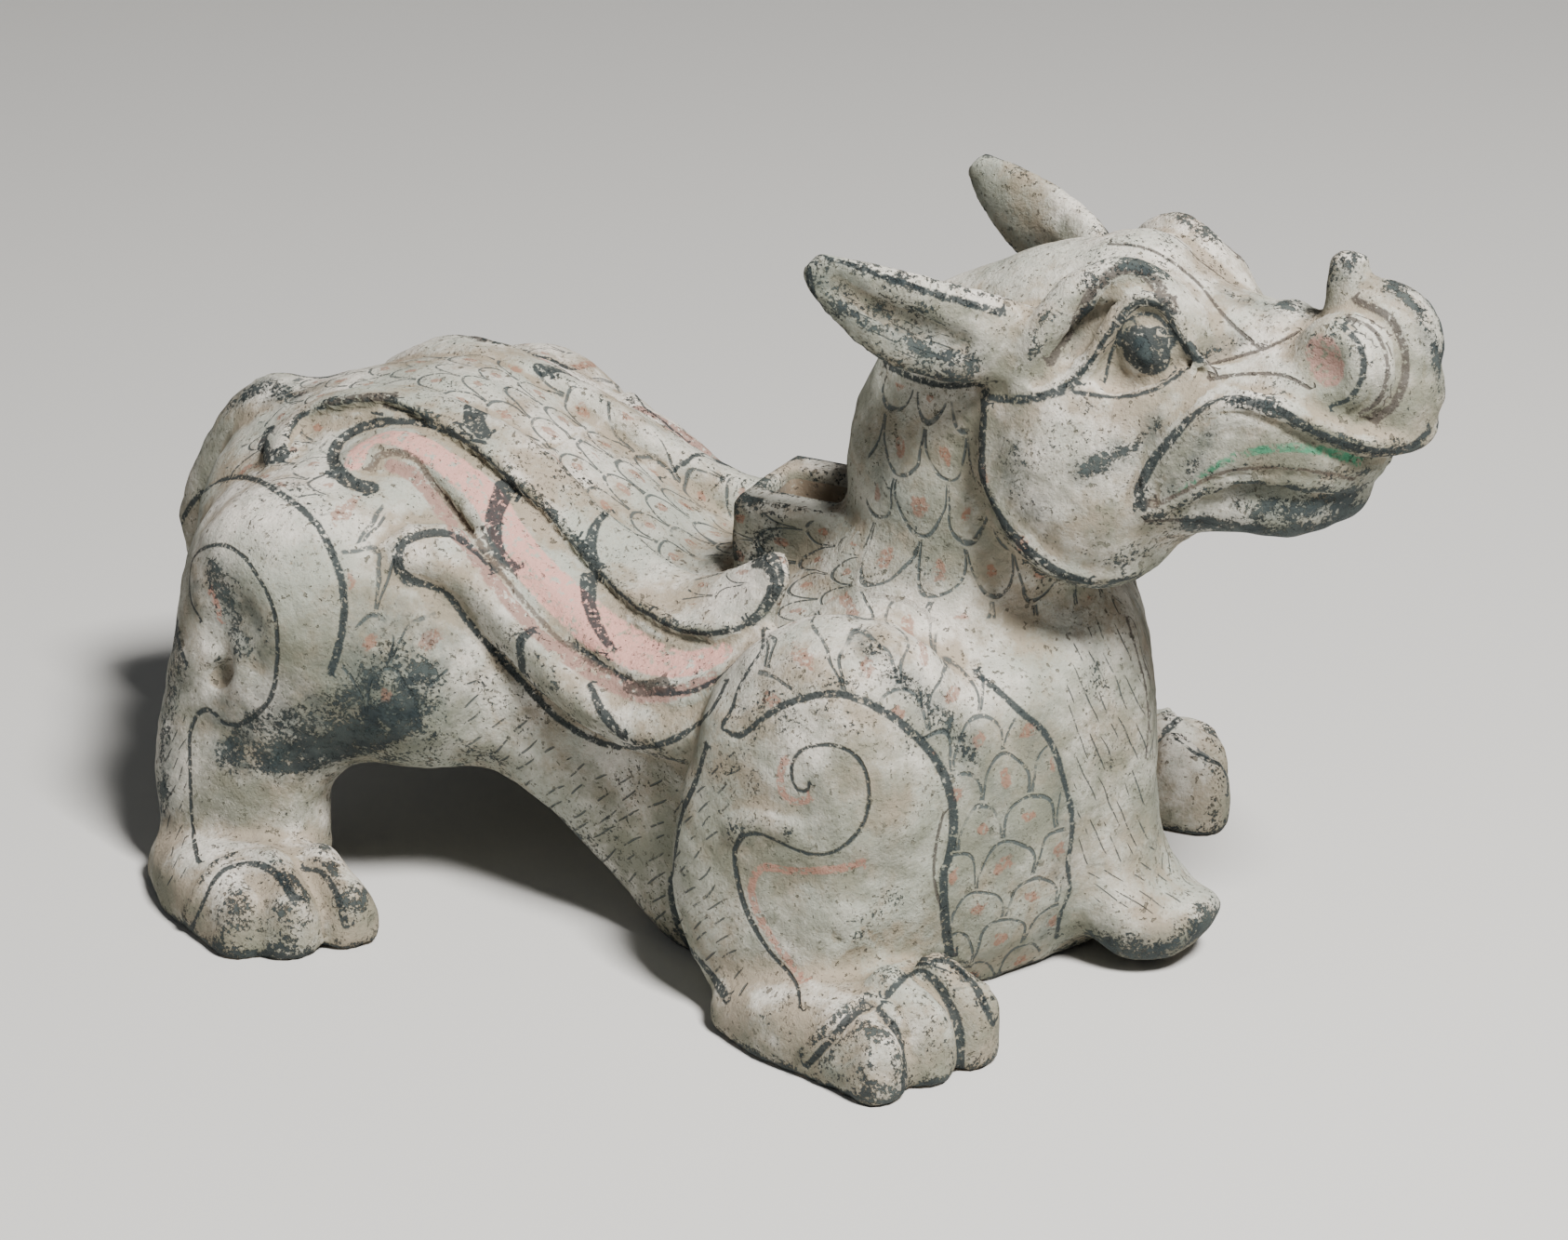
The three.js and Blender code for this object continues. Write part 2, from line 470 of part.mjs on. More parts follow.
// closed surface of the distance function on a grid: one corner point per crossed cell
function surface(at, low, high, step) {
  const n = low.map((v, i) => Math.round((high[i] - v) / step) + 1);
  const id = (i, j, k) => (i * n[1] + j) * n[2] + k;
  const value = new Float64Array(n[0] * n[1] * n[2]);
  for (let i = 0; i < n[0]; i++) {
    for (let j = 0; j < n[1]; j++) {
      const mirror = n[1] - 1 - j;
      for (let k = 0; k < n[2]; k++) {
        if (mirror < j) value[id(i, j, k)] = value[id(i, mirror, k)];
        else {
          const height = low[2] + k * step;
          value[id(i, j, k)] = at(low[0] + i * step, Math.abs(low[1] + j * step), height) || NOT_ZERO;
        }
      }
    }
  }
  do fillPockets(value, n, id);
  while (closeTouchingCorners(value, n, id));
  const corners = [];
  for (let c = 0; c < 8; c++) corners.push([c & 1, (c >> 1) & 1, c >> 2]);
  const edges = [];
  for (let a = 0; a < 8; a++) {
    for (const bit of [1, 2, 4]) if (!(a & bit)) edges.push([corners[a], corners[a | bit]]);
  }
  const points = [];
  const cell = new Int32Array(value.length).fill(-1);
  for (let i = 0; i + 1 < n[0]; i++) {
    for (let j = 0; j + 1 < n[1]; j++) {
      for (let k = 0; k + 1 < n[2]; k++) {
        const sum = [0, 0, 0];
        let count = 0;
        for (const [p, q] of edges) {
          const a = value[id(i + p[0], j + p[1], k + p[2])];
          const b = value[id(i + q[0], j + q[1], k + q[2])];
          if ((a < 0) === (b < 0)) continue;
          const t = a / (a - b);
          for (let m = 0; m < 3; m++) sum[m] += p[m] + t * (q[m] - p[m]);
          count++;
        }
        if (!count) continue;
        cell[id(i, j, k)] = points.length;
        points.push([i, j, k].map((v, m) => low[m] + (v + sum[m] / count) * step));
      }
    }
  }
  const faces = [];
  const unit = [[1, 0, 0], [0, 1, 0], [0, 0, 1]];
  for (let axis = 0; axis < 3; axis++) {
    const [u, v] = [unit[(axis + 1) % 3], unit[(axis + 2) % 3]];
    const w = unit[axis];
    for (let i = 1; i + 1 < n[0]; i++) {
      for (let j = 1; j + 1 < n[1]; j++) {
        for (let k = 1; k + 1 < n[2]; k++) {
          const a = value[id(i, j, k)] < 0;
          if (a === value[id(i + w[0], j + w[1], k + w[2])] < 0) continue;
          const q = [[1, 1], [0, 1], [0, 0], [1, 0]].map(([s, t]) =>
            cell[id(i - s * u[0] - t * v[0], j - s * u[1] - t * v[1], k - s * u[2] - t * v[2])]);
          if (!a) q.reverse();
          faces.push([q[0], q[1], q[2]], [q[0], q[2], q[3]]);
        }
      }
    }
  }
  return { points, faces };
}

// merges the edges that matter least to the shape until the wanted number of triangles is left
function simplify(points, faces, wanted) {
  const P = points.map((p) => [...p]);
  const Fs = faces.map((f) => [...f]);
  const at = P.map(() => new Set());
  Fs.forEach((f, i) => f.forEach((v) => at[v].add(i)));
  const normal = (a, b, c) => {
    const [x1, y1, z1] = [b[0] - a[0], b[1] - a[1], b[2] - a[2]];
    const [x2, y2, z2] = [c[0] - a[0], c[1] - a[1], c[2] - a[2]];
    return [y1 * z2 - z1 * y2, z1 * x2 - x1 * z2, x1 * y2 - y1 * x2];
  };
  const Q = P.map(() => new Float64Array(10));
  for (const f of Fs) {
    const [a, b, c] = f.map((v) => P[v]);
    const m = normal(a, b, c);
    const area = Math.hypot(...m);
    if (area < 1e-12) continue;
    const [x, y, z] = m.map((v) => v / area);
    const w = -(x * a[0] + y * a[1] + z * a[2]);
    const q = [x * x, x * y, x * z, x * w, y * y, y * z, y * w, z * z, z * w, w * w];
    for (const v of f) for (let i = 0; i < 10; i++) Q[v][i] += q[i] * area;
  }
  const cost = (q, p) => {
    const [x, y, z] = p;
    const alongX = q[0] * x * x + 2 * q[1] * x * y + 2 * q[2] * x * z + 2 * q[3] * x;
    const alongY = q[4] * y * y + 2 * q[5] * y * z + 2 * q[6] * y;
    return alongX + alongY + q[7] * z * z + 2 * q[8] * z + q[9];
  };
  const place = (a, b) => {
    const q = Q[a].map((v, i) => v + Q[b][i]);
    const [m00, m01, m02, m11, m12, m22] = [q[0], q[1], q[2], q[4], q[5], q[7]];
    const det = m00 * (m11 * m22 - m12 * m12) - m01 * (m01 * m22 - m12 * m02) + m02 * (m01 * m12 - m11 * m02);
    const mid = P[a].map((v, i) => (v + P[b][i]) / 2);
    const options = [mid, P[a], P[b]];
    const length = Math.hypot(P[a][0] - P[b][0], P[a][1] - P[b][1], P[a][2] - P[b][2]);
    const scale = (m00 + m11 + m22) / 3;
    if (Math.abs(det) > 1e-3 * scale ** 3) {
      const [r0, r1, r2] = [-q[3], -q[6], -q[8]];
      const p = [
        (r0 * (m11 * m22 - m12 * m12) - m01 * (r1 * m22 - m12 * r2) + m02 * (r1 * m12 - m11 * r2)) / det,
        (m00 * (r1 * m22 - m12 * r2) - r0 * (m01 * m22 - m12 * m02) + m02 * (m01 * r2 - r1 * m02)) / det,
        (m00 * (m11 * r2 - r1 * m12) - m01 * (m01 * r2 - r1 * m02) + r0 * (m01 * m12 - m11 * m02)) / det];
      if (Math.hypot(p[0] - mid[0], p[1] - mid[1], p[2] - mid[2]) < length) options.unshift(p);
    }
    let best = null;
    for (const p of options) {
      const c = cost(q, p);
      if (!best || c < best.c - 1e-9) best = { c, p };
    }
    return { cost: Math.max(best.c, 0) + 1e-4 * length * length, p: best.p };
  };
  const heap = [];
  const stamp = new Int32Array(P.length);
  const push = (item) => {
    heap.push(item);
    let i = heap.length - 1;
    while (i > 0 && heap[(i - 1) >> 1].cost > heap[i].cost) {
      [heap[i], heap[(i - 1) >> 1]] = [heap[(i - 1) >> 1], heap[i]];
      i = (i - 1) >> 1;
    }
  };
  const pop = () => {
    const top = heap[0];
    const end = heap.pop();
    if (heap.length) {
      heap[0] = end;
      let i = 0;
      for (;;) {
        let s = 2 * i + 1;
        if (s >= heap.length) break;
        if (s + 1 < heap.length && heap[s + 1].cost < heap[s].cost) s++;
        if (heap[s].cost >= heap[i].cost) break;
        [heap[i], heap[s]] = [heap[s], heap[i]];
        i = s;
      }
    }
    return top;
  };
  const offer = (a, b) => push({ a, b, sa: stamp[a], sb: stamp[b], ...place(a, b) });
  const seen = new Set();
  for (const f of Fs) {
    for (let i = 0; i < 3; i++) {
      const [a, b] = [Math.min(f[i], f[(i + 1) % 3]), Math.max(f[i], f[(i + 1) % 3])];
      const key = a * P.length + b;
      if (!seen.has(key)) {
        seen.add(key);
        offer(a, b);
      }
    }
  }
  const ring = (v) => {
    const out = new Set();
    for (const f of at[v]) for (const w of Fs[f]) if (w !== v) out.add(w);
    return out;
  };
  let left = Fs.length;
  while (left > wanted && heap.length) {
    const e = pop();
    if (stamp[e.a] !== e.sa || stamp[e.b] !== e.sb || !at[e.a].size || !at[e.b].size) continue;
    const [ra, rb] = [ring(e.a), ring(e.b)];
    let common = 0;
    for (const v of ra) if (rb.has(v)) common++;
    if (common !== 2) continue;
    let good = true;
    for (const v of [e.a, e.b]) {
      for (const f of at[v]) {
        if (Fs[f].includes(e.a) && Fs[f].includes(e.b)) continue;
        const old = normal(...Fs[f].map((w) => P[w]));
        const now = normal(...Fs[f].map((w) => (w === v ? e.p : P[w])));
        const dot = old[0] * now[0] + old[1] * now[1] + old[2] * now[2];
        if (dot < 0.35 * Math.hypot(...old) * Math.hypot(...now) || Math.hypot(...now) < 0.02) good = false;
      }
    }
    if (!good) continue;
    P[e.a] = e.p;
    for (let i = 0; i < 10; i++) Q[e.a][i] += Q[e.b][i];
    for (const f of [...at[e.b]]) {
      if (Fs[f].includes(e.a)) {
        for (const v of Fs[f]) at[v].delete(f);
        Fs[f] = null;
        left--;
      } else {
        Fs[f] = Fs[f].map((v) => (v === e.b ? e.a : v));
        at[e.a].add(f);
      }
    }
    at[e.b].clear();
    stamp[e.a]++;
    stamp[e.b]++;
    for (const v of ring(e.a)) offer(e.a, v);
  }
  return { points: P, faces: Fs.filter(Boolean) };
}

// the standing plane and the collar's rim are made truly flat
function levelled([x, y, z]) {
  if (z < FLAT_WITHIN) return [x, y, 0];
  const overRim = Math.abs(y) < RIM.halfWidth && x > RIM.back && x < RIM.front;
  if (overRim && Math.abs(z - RIM.height) < FLAT_WITHIN) {
    return [x, y, RIM.height];
  }
  return [x, y, z];
}

function beastGeometry() {
  const raw = surface((x, y, z) => run(BEAST, x, y, z), LOW, HIGH, STEP);
  const { points, faces } = simplify(raw.points, raw.faces, TRIANGLES);
  const used = new Map();
  const position = [];
  const index = [];
  for (const f of faces) {
    for (const v of f) {
      if (!used.has(v)) {
        used.set(v, used.size);
        position.push(...levelled(points[v]));
      }
      index.push(used.get(v));
    }
  }
  const geometry = new THREE.BufferGeometry();
  geometry.setAttribute('position', new THREE.Float32BufferAttribute(position, 3));
  geometry.setIndex(index);
  geometry.computeVertexNormals();
  return geometry;
}

const clay = new THREE.MeshStandardMaterial({ color: 0xc9c4b4, roughness: 0.85, metalness: 0 });
const beast = new THREE.Mesh(beastGeometry(), clay);
beast.name = 'beast';

const figure = new THREE.Group();
figure.name = 'tomb_beast';
figure.add(beast);

export default figure;
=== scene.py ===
"""A crouching winged tomb beast in painted earthenware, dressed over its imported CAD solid.

The body is the same surface as the CAD solid, worked out finer: a distance function made of
named masses, whose zero level is meshed. The slip, the brush lines, the scales, the hair
strokes, the washes and the wear are masks held on that mesh and coloured by its material.
Tables are in millimetres, everything put into the scene is in metres.
"""
import math

import bpy
import numpy as np
from mathutils import Matrix, Vector
from mathutils.bvhtree import BVHTree


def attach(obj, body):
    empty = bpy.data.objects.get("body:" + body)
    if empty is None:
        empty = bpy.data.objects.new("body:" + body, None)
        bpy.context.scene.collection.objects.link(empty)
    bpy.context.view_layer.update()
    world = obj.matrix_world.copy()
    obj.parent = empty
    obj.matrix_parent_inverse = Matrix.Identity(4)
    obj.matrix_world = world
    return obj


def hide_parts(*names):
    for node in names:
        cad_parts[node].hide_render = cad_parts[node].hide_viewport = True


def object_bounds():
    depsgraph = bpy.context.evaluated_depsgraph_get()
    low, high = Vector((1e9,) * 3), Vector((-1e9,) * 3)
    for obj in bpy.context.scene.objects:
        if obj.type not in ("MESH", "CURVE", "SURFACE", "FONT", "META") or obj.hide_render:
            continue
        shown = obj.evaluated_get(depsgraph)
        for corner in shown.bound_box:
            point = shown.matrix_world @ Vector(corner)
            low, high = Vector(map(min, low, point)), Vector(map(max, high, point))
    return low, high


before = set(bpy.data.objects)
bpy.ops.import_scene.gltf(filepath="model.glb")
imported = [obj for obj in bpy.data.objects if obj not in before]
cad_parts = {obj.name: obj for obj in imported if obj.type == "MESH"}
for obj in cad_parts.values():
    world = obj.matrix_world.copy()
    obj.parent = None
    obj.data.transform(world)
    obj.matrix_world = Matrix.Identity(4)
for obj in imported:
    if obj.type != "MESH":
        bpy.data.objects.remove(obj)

bl_info = {
    "name": "Painted Tomb Beast",
    "version": (1, 0, 0),
    "blender": (4, 5, 0),
    "location": "View3D > Sidebar > Tomb Beast",
    "description": "Builds a painted earthenware tomb beast over its CAD solid",
    "category": "Object",
}

NODE = "beast"
MM = 0.001
CAD_LOW, CAD_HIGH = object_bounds()
SEED = 7
real = np.float32

# The photograph's camera: degrees, millimetres, and the frame and focal length in pixels
CAMERA_AZIMUTH = 27.5
CAMERA_ELEVATION = 23.0
CAMERA_DISTANCE = 1600.0
CAMERA_AIM = (0.0, -4.1, 99.0)
PHOTO_WIDTH = 1686
PHOTO_HEIGHT = 1333
FOCAL_PIXELS = 4870.0
SENSOR_WIDTH = 36.0
CLIP_START = 0.01

# The solid's level faces: height of the collar's rim, and how near it or the ground counts
RIM_HEIGHT = 151.0
FLAT_WITHIN = 0.6

# Corners of the box that holds the socket's bare walls, millimetres
SOCKET_LOW = (-6.0, -13.0, 108.0)
SOCKET_HIGH = (32.0, 13.0, RIM_HEIGHT - 3)

# The mesh: corners of the grid, fine steps in a coarse one, points worked out at once
GRID_LOW = (-276.0, -160.0, -8.0)
GRID_HIGH = (252.0, 162.0, 284.0)
COARSE = 4
NEAR_CELLS = 1.8  # coarse cells on each side of the surface that are worked out finely
CHUNK = 400000

# Blends and curves of the shapes, millimetres unless they are shares
REACH = 16.0  # a mass acts no further outside its box than this and its blend
FAR = 1000.0
TOE_BLEND = 1.5
TRUNK_END_ROUND = 6
BAND_OUTWARD = (0, 0.6, 0.8)
BAND_SUNK = 0.9  # share of a band's half thickness that lies below its edges
BOW_ROUND = 5
BOW_SLOPE = 0.42
BOW_CURVE = 0.0012
BOW_STEEPNESS = 1.12

# The brush, millimetres
FAR_SIDE_DRIFT = 1.6  # how far the far side's paint wanders
DRIFT_SIZE = 70
LONGEST_STEP = 14.0  # a longer step between two points of a line has jumped a gap
LINE_REACH = 9.0
RELIEF_REACH = 1.0
UNPAINTED = (20.0, 0.5, 0.0, 19.5)  # distance, half width, tone and edge away from every line
FULL_SHARE = 0.25  # share of a wash's half width that has its full strength
FACING_LEAST = 0.05  # how much a surface faces the camera where an outline counts
MASK_SOFTNESS = 2.5

# Hand-made unevenness: height and size of the swells, and how many waves make them
UNEVENNESS = ((0.7, 55, 12), (0.4, 20, 12), (0.2, 8.5, 24))

# Passes of smoothing and their share, for fine and for broad form
FINE_FORM = (8, 0.6)
BROAD_FORM = (60, 0.9)
MESH_SMOOTHING = (2, 0.5)

# Size of the painted scales, millimetres across and along
BACK_SCALE = (12.5, 14.5)
NECK_SCALE = (19.0, 19.5)
CHEST_SCALE = (20.0, 15.5)
HAUNCH_SCALE = (18.0, 19.5)
WITHERS_SCALE = (14.0, 17.0)
NECK_AXIS_X = 84  # the rows of the neck run round this upright line
NECK_RADIUS = 46

# Brush lines: the attribute, raggedness in millimetres and wear
BRUSHES = (("red", 1.1, 0.44), ("fine", 0.5, 0.42), ("broad", 1.0, 0.41))
LINE_SOFTNESS = 0.35
LINE_WHOLE = 1.7  # millimetres past a line's edge up to which its rags are whole
LINE_GONE = 2.0
WEAR_SOFTNESS = 0.05

# Painted scales, in shares of a cell
ROW_SWAY = 0.5
SCALE_ROUNDNESS = 2.2
SCALE_RADIUS = 0.95
DOT_HEIGHT = 0.42

# How fully each layer covers what lies under it, and the surface of the slip and the clay
COVER = {"roll": 0.92, "pink": 0.92, "green": 0.95, "scale": 0.85, "dot": 0.62, "hair": 0.8,
         "stain": 0.78, "red": 0.68, "wear": 0.93, "smear": 0.6}
MOST_WEAR = 1.1
SLIP_RELIEF = 0.0017
SLIP_GLOSS = 0.22
CLAY_RELIEF = 0.0008
CLAY_ROUGHNESS = 0.9

# The studio, metres: places and sizes of the lights, the surround and the floor
LIGHT_AIM = (0, 0, 0.1)
KEY_PLACE = (1.2, -0.7, 2.05)
KEY_SIZE = 0.5
KEY_COLOR = (1, 0.97, 0.93)
FILL_PLACE = (-1.6, -1.5, 0.9)
FILL_SIZE = 1.4
FILL_COLOR = (0.93, 0.97, 1)
SURROUND_COLOR = (0.93, 0.96, 1, 1)
SURROUND_STRENGTH = 0.06
FLOOR_ROUGHNESS = 0.9
FLOOR_REACH = 4.0
FLOOR_CURVE = 1.2
WALL_HEIGHT = 2.5
CURVE_STEPS = 24


# Distance functions, millimetres, negative inside


def smin(a, b, k):
    """Smaller of two distances, with a rounded blend where they differ by less than k.

    With h the share of k by which they still differ less, h squared times a quarter of k is
    taken off the smaller one.
    """
    if k <= 0:
        return np.minimum(a, b)
    h = np.maximum(k - np.abs(a - b), 0) / k
    return np.minimum(a, b) - h * h * k * 0.25


def catmull(rows, steps):
    """Rows resampled on a smooth curve through them, so many steps between each pair.

    Between rows b and c, with a before and d after, the curve is half of 2b + (c - a) t
    + (2a - 5b + 4c - d) t^2 + (3b - a - 3c + d) t^3.
    """
    rows = np.asarray(rows, float)
    p = np.vstack([2 * rows[0] - rows[1], rows, 2 * rows[-1] - rows[-2]])
    t = (np.arange(steps) / steps)[:, None]
    out = []
    for a, b, c, d in zip(p[:-3], p[1:-2], p[2:-1], p[3:]):
        bend = 2 * a - 5 * b + 4 * c - d
        out.append(0.5 * (2 * b + (c - a) * t + bend * t * t + (3 * b - a - 3 * c + d) * t ** 3))
    return np.vstack(out + [rows[-1:]])


class Mass:
    """A distance function with the box that its shape fills."""

    def __init__(self, distance, low, high):
        """Keeps the function and the two corners of the box."""
        self.distance = distance
        self.low = np.array(low, float)
        self.high = np.array(high, float)


def everywhere(distance):
    """A distance function that is worked out at every point."""
    return Mass(distance, [-1e4] * 3, [1e4] * 3)


def ball(centre, radii, yaw=0, pitch=0):
    """An ellipsoid turned by yaw about z, then by pitch about y.

    With m the length of the point divided by the radii, and s the length of the point divided
    by their squares, the distance is m (m - 1) / s.
    """
    a, b = np.radians([yaw, pitch])
    about_z = np.array([[np.cos(a), -np.sin(a), 0], [np.sin(a), np.cos(a), 0], [0, 0, 1]])
    about_y = np.array([[np.cos(b), 0, -np.sin(b)], [0, 1, 0], [np.sin(b), 0, np.cos(b)]])
    turn = (about_z @ about_y).astype(real)
    c = np.array(centre, real)
    r = np.array(radii, real)

    def distance(P):
        q = (P - c) @ turn
        m = np.sqrt(((q / r) ** 2).sum(1))
        slope = np.sqrt(((q / (r * r)) ** 2).sum(1))
        return np.maximum(m * (m - 1) / np.maximum(slope, 1e-6), -r.min())

    reach = max(radii) if (yaw or pitch) else np.array(radii)
    return Mass(distance, np.array(centre) - reach, np.array(centre) + reach)


def sweep(rows, n=2):
    """A limb through rows of x y z, two half widths and the direction of the first.

    Its section is a rounded rectangle of power n: |u|^n + |v|^n = 1. On each leg between two
    stations m is the n-th root of |u|^n + |v|^n + |w|^n, with w counted past the ends alone,
    and the distance is m - 1 over the slope of m. The nearest leg counts.
    """
    stations = catmull(rows, 4)
    legs = []
    for A, B in zip(stations[:-1], stations[1:]):
        d = B[:3] - A[:3]
        T = d / np.linalg.norm(d)
        U = (A[5:8] + B[5:8]) / 2
        U = U - T * (U @ T)
        U /= np.linalg.norm(U)
        legs.append((A, B, d.astype(real), *(w.astype(real) for w in (T, U, np.cross(T, U)))))

    def distance(P):
        best = np.full(len(P), FAR, real)
        for A, B, d, T, U, V in legs:
            q = P - A[:3].astype(real)
            h = np.clip(q @ (d / (d @ d)), 0, 1)
            q = q - h[:, None] * d
            a = A[3] + (B[3] - A[3]) * h
            b = A[4] + (B[4] - A[4]) * h
            c = np.minimum(a, b)
            u, v, w = np.abs(q @ U) / a, np.abs(q @ V) / b, np.abs(q @ T) / c
            m = np.maximum(u ** n + v ** n + w ** n, 1e-9) ** (1 / n)
            slope = (u ** (n - 1) / a) ** 2 + (v ** (n - 1) / b) ** 2 + (w ** (n - 1) / c) ** 2
            slope = np.sqrt(slope) * m ** (1 - n)
            best = np.minimum(best, np.maximum((m - 1) / np.maximum(slope, 1e-4), -c))
        return best

    reach = np.maximum(stations[:, 3], stations[:, 4])[:, None]
    return Mass(distance, (stations[:, :3] - reach).min(0), (stations[:, :3] + reach).max(0))


def tube(rows):
    """A round cord through rows of x y z and radius.

    The distance is that from the nearest leg's middle line, less the radius there.
    """
    stations = catmull(rows, 3)

    def distance(P):
        best = np.full(len(P), FAR, real)
        for A, B in zip(stations[:-1], stations[1:]):
            d = (B[:3] - A[:3]).astype(real)
            q = P - A[:3].astype(real)
            h = np.clip(q @ (d / (d @ d)), 0, 1)
            away = np.sqrt(((q - h[:, None] * d) ** 2).sum(1))
            best = np.minimum(best, away - (A[3] + (B[3] - A[3]) * h))
        return best

    reach = stations[:, 3:4]
    return Mass(distance, (stations[:, :3] - reach).min(0), (stations[:, :3] + reach).max(0))


def claws(rows):
    """Toes, each with x y z, half height and half width at the knuckle, then at the tip.

    Each is a short limb, and they are joined with a small blend.
    """
    toes = []
    for r in rows:
        toes.append(sweep([[*r[:5], 0, 1, 0], [*r[5:], 0, 1, 0]], 2.2))

    def distance(P):
        best = toes[0].distance(P)
        for toe in toes[1:]:
            best = smin(best, toe.distance(P), TOE_BLEND)
        return best

    return Mass(distance, np.min([t.low for t in toes], 0), np.max([t.high for t in toes], 0))


def loft(rows, n_top, n_bottom):
    """The trunk along x: sections with one power above their centre height and one below.

    With u and v the point's share of the half width and of the rise or the drop at its x, m is
    the n-th root of u^n + v^n, and the distance is m - 1 over the slope of m.
    """
    table = catmull(rows, 4)

    def distance(P):
        x = P[:, 0]
        centre, rise, drop, half = (
            np.interp(x, table[:, 0], table[:, i]).astype(real) for i in (1, 2, 3, 4))
        dz = P[:, 2] - centre
        r = np.where(dz > 0, rise, drop)
        n = np.where(dz > 0, real(n_top), real(n_bottom))
        u = np.abs(P[:, 1]) / half
        v = np.abs(dz) / r
        m = np.maximum(u ** n + v ** n, 1e-9) ** (1 / n)
        slope = np.sqrt((u ** (n - 1) / half) ** 2 + (v ** (n - 1) / r) ** 2) * m ** (1 - n)
        d = np.maximum((m - 1) / np.maximum(slope, 1e-4), -np.minimum(half, r))
        ends = np.maximum(table[0, 0] - x, x - table[-1, 0]).astype(real)
        return -smin(-d, -ends, TRUNK_END_ROUND)

    return everywhere(distance)


def band(rows, sink, lift):
    """Stations of a wing band from its upper and lower edges, tilted like a shingle.

    The upper edge sinks under the band above it and the lower edge lifts over the one below.
    Each station lies halfway between the two edges, a little below them, and its first
    direction runs from edge to edge.
    """
    rows = np.array(rows, float)
    along = np.gradient((rows[:, :3] + rows[:, 3:6]) / 2, axis=0)
    outward = np.array(BAND_OUTWARD)
    out = []
    for r, T in zip(rows, along):
        N = np.cross(T, r[3:6] - r[:3])
        N *= np.sign(N @ outward) / np.linalg.norm(N)
        a = r[:3] - N * sink
        b = r[3:6] + N * lift
        width = np.linalg.norm(b - a) / 2
        U = (b - a) / (2 * width)
        N = np.cross(T, U)
        N *= np.sign(N @ outward) / np.linalg.norm(N)
        out.append([*((a + b) / 2 - N * r[6] * BAND_SUNK), width + 1, r[6], *U])
    return out


def box(centre, half, radius):
    """A block with rounded edges: the distance from a block smaller by the radius, less it."""
    c = np.array(centre, real)
    h = np.array(half, real) - real(radius)

    def distance(P):
        q = np.abs(P - c) - h
        return np.sqrt((np.maximum(q, 0) ** 2).sum(1)) + np.minimum(q.max(1), 0) - real(radius)

    return Mass(distance, np.array(centre) - half, np.array(centre) + half)


def prow(keel):
    """What lies behind a keel that falls away to both sides like a ship's bow.

    The keel's x is read at the point's height. With y the distance from the middle plane,
    rounded near it, the front moves back by a slope times y and a curve times y squared.
    """
    k = catmull(keel, 4)

    def distance(P):
        front = np.interp(P[:, 2], k[:, 0], k[:, 1]).astype(real)
        y = np.sqrt(P[:, 1] ** 2 + BOW_ROUND ** 2) - BOW_ROUND
        return (P[:, 0] - front + BOW_SLOPE * y + BOW_CURVE * y * y) / BOW_STEEPNESS

    return everywhere(distance)


def floor():
    """What lies below the standing plane: the distance is minus the height."""
    return everywhere(lambda P: -P[:, 2])


def carved(a, b, k):
    """Mass a without mass b, its edge rounded over k: the larger of a and minus b."""
    return Mass(lambda P: -smin(-a.distance(P), b.distance(P), k), a.low, a.high)


def add(mass, k):
    """A step that joins a mass to what is there, blended over k."""
    return "add", mass, k


def cut(mass, k):
    """A step that takes a mass away."""
    return "cut", mass, k


def limit(mass, k):
    """A step that keeps only what lies inside a mass."""
    return "limit", mass, k


def run(steps, P):
    """Distance at points P after all the steps, each worked out only near its own mass."""
    d = np.full(len(P), FAR, real)
    for kind, mass, k in steps:
        pad = REACH + k
        near = ((P > (mass.low - pad).astype(real)) & (P < (mass.high + pad).astype(real))).all(1)
        if not near.any():
            continue
        f = mass.distance(P[near]).astype(real)
        e = d[near]
        if kind == "add":
            e = smin(e, f, k)
        elif kind == "cut":
            e = -smin(-e, f, k)
        else:
            e = -smin(-e, -f, k)
        d[near] = e
    return d


def group(steps):
    """Steps run on their own, to be joined as one mass."""
    low = np.min([m.low for kind, m, k in steps if kind == "add"], 0)
    high = np.max([m.high for kind, m, k in steps if kind == "add"], 0)
    return Mass(lambda P: run(steps, P), low, high)


# Tables of the beast, millimetres; the left half is given and the right half mirrors it

# Body sections along x: x, centre height, rise to the back, drop to the belly, half width
TORSO = [[-228, 106, 24, 22, 24], [-217, 106, 37, 30, 50], [-198, 106, 47, 42, 67],
    [-175, 104, 58, 50, 79], [-150, 100, 68, 52, 86],
    [-128, 96, 73, 48, 86], [-105, 88, 72, 39, 83], [-80, 82, 65, 37, 80], [-57, 76, 58, 44, 78],
    [-44, 73, 54, 55, 78], [-30, 70, 51, 64, 78],
    [0, 66, 58, 86, 83], [30, 66, 68, 90, 90], [60, 64, 72, 90, 94], [95, 62, 72, 90, 96],
    [120, 60, 70, 90, 92], [142, 60, 66, 90, 84], [156, 58, 60, 90, 70]]
# Front keel of the chest: height, x
KEEL = [[-20, 112], [0, 121], [10, 128], [22, 135], [40, 139], [60, 140], [93, 138.5], [113, 134],
    [133, 125], [160, 107]]
